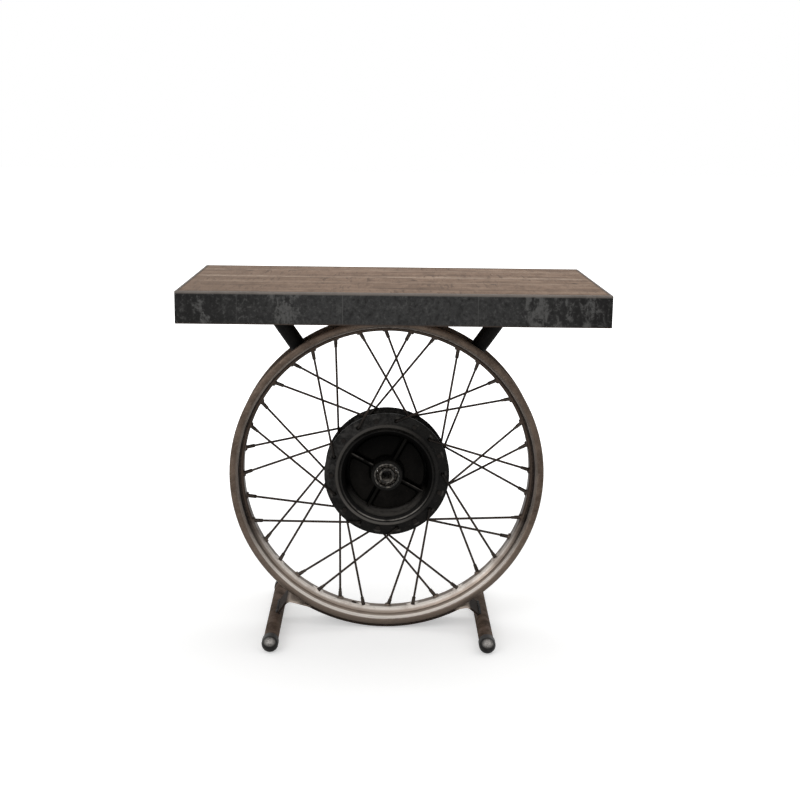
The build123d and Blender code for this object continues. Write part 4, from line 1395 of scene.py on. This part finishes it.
# %% Welds of the struts
STRUT_LEAN = math.radians(35.0)
STRUT_RADIUS = 12.5 * MM
TOP_BEADS = 40
TOP_REACH = STRUT_RADIUS + 1.3 * MM
TOP_DROP = -1.2 * MM
TOP_HALF_WIDTH = 2.9 * MM
FOOT_BEADS = 38
FOOT_REACH = STRUT_RADIUS + 1.2 * MM
FOOT_LIFT = 0.8 * MM
FOOT_HALF_WIDTH = 2.6 * MM
# The rim's bed, where a tyre would lie: radius and half width of the well, then the step.
BED_RADIUS = 222.8 * MM
BED_HALF = 10.0 * MM
STEP_WIDTH = 3.5 * MM
STEP_HEIGHT = 7.0 * MM
DOWN = Vector((0, 0, -1))
strut_run = (band_low.z - wheel_centre.z) * math.tan(STRUT_LEAN)


def bed_radius(across):
    """Outer radius of the rim's bed at a distance from its middle plane."""
    return BED_RADIUS + min(1.0, max(0.0, across - BED_HALF) / STEP_WIDTH) * STEP_HEIGHT


for side_name, way in (("left", -1), ("right", 1)):
    centre = Vector((wheel_centre.x + way * strut_run, 0, band_low.z))
    stretched = STRUT_RADIUS / math.cos(STRUT_LEAN) + TOP_REACH - STRUT_RADIUS
    points, normals = [], []
    for number in range(TOP_BEADS + 1):
        angle = 2 * math.pi * number / TOP_BEADS
        out = Vector((math.cos(angle), math.sin(angle), 0))
        points.append(centre + Vector((out.x * stretched, out.y * TOP_REACH, TOP_DROP)))
        normals.append((out + 0.9 * DOWN).normalized())
    weld(f"weld_strut_top_{side_name}", points, normals, TOP_HALF_WIDTH)
    outwards = Vector((way * math.sin(STRUT_LEAN), 0, math.cos(STRUT_LEAN)))
    sideways = Vector((math.cos(STRUT_LEAN), 0, -way * math.sin(STRUT_LEAN)))
    points, normals = [], []
    for number in range(FOOT_BEADS + 1):
        angle = 2 * math.pi * number / FOOT_BEADS
        out = sideways * math.cos(angle) + Vector((0, 1, 0)) * math.sin(angle)
        across = FOOT_REACH * math.sin(angle)
        lateral = FOOT_REACH * math.cos(angle)
        radius = math.sqrt((bed_radius(abs(across)) + FOOT_LIFT) ** 2 - lateral**2)
        points.append(wheel_centre + outwards * radius + sideways * lateral + Vector((0, across, 0)))
        normals.append((out + outwards).normalized())
    weld(f"weld_strut_foot_{side_name}", points, normals, FOOT_HALF_WIDTH)

# %% Welds of the top straps
STITCH_LENGTH = 14 * MM
STITCH_PITCH = 1.5 * MM
STITCH_HALF_WIDTH = 2.2 * MM

for side_name in ("left", "right"):
    low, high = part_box(f"top_strap_{side_name}")
    points = []
    for end_y in (low.y, high.y):
        for start_x, end_x in ((low.x, low.x + STITCH_LENGTH), (high.x - STITCH_LENGTH, high.x)):
            start = Vector((start_x, end_y, band_low.z))
            points += straight(start, Vector((end_x, end_y, band_low.z)), STITCH_PITCH)
    weld(f"weld_strap_{side_name}", points, [DOWN] * len(points), STITCH_HALF_WIDTH)

# %% Welds of the cradle's feet
TUBE_RADIUS = 11.1 * MM
SHEET_HALF = 1.5 * MM
TOE_STEP = 0.7 * MM
CRADLE_HALF = Vector((0, 28.5 * MM, 0))
TOE_PITCH = 1.7 * MM
TOE_HALF_WIDTH = 2.3 * MM
# Each leg of the flat bar in mm: where it starts and where it lands, out from the wheel and up.
LEGS = (
    ("left", -1, (152.19, 43.70), (169.49, 19.9)),
    ("right", 1, (129.06, 35.65), (149.76, 19.9)),
)

for side_name, way, crest, landing in LEGS:
    tube_low, tube_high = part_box(f"foot_tube_{side_name}")
    tube_axis = Vector(((tube_low.x + tube_high.x) / 2, 0, (tube_low.z + tube_high.z) / 2))
    start, end = (Vector((wheel_centre.x + way * out * MM, 0, up * MM)) for out, up in (crest, landing))
    run = (end - start).normalized()
    face = Vector((run.z, 0, -run.x))
    if face.z < 0:
        face = -face
    for toe_name, toe in (("upper", face), ("lower", -face)):
        on_face = end + toe * SHEET_HALF - tube_axis
        reach = on_face.dot(run)
        travel = -reach - math.sqrt(max(0.0, reach**2 - on_face.length**2 + TUBE_RADIUS**2))
        toe_point = tube_axis + on_face + run * travel
        radial = (toe_point - tube_axis).normalized()
        lifted = toe_point + toe * TOE_STEP
        points = straight(lifted - CRADLE_HALF, lifted + CRADLE_HALF, TOE_PITCH)
        normals = [(radial + toe).normalized()] * len(points)
        weld(f"weld_foot_{toe_name}_{side_name}", points, normals, TOE_HALF_WIDTH)

# %% Welds of the rim's lips
LIP_RADIUS = 240.2 * MM
LIP_EDGE = 29.2 * MM
LIP_ANGLES = (-20, -7, 7, 20)
BEADS_PER_STITCH = 9
BEAD_ANGLE = 0.42
LIP_HALF_WIDTH = 1.0 * MM

points, normals = [], []
for edge_y in (-LIP_EDGE, LIP_EDGE):
    for middle_angle in LIP_ANGLES:
        for number in range(BEADS_PER_STITCH):
            angle = math.radians(-90 + middle_angle + (number - BEADS_PER_STITCH // 2) * BEAD_ANGLE)
            out = Vector((math.cos(angle), 0, math.sin(angle)))
            points.append(wheel_centre + out * LIP_RADIUS + Vector((0, edge_y, 0)))
            normals.append(Vector((0, math.copysign(1, edge_y), 0)) - out * 0.3)
weld("weld_lip_stitches", points, normals, LIP_HALF_WIDTH)
bpy.data.objects.remove(ripple)

# %% [markdown]
# ## Print the visual box and finish
#
# The visual model's box is printed; it should agree with the CAD model's box.

# %% Sizes and finish
low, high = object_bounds()
print("visual box", [round(value, 4) for value in (*low, *high)])
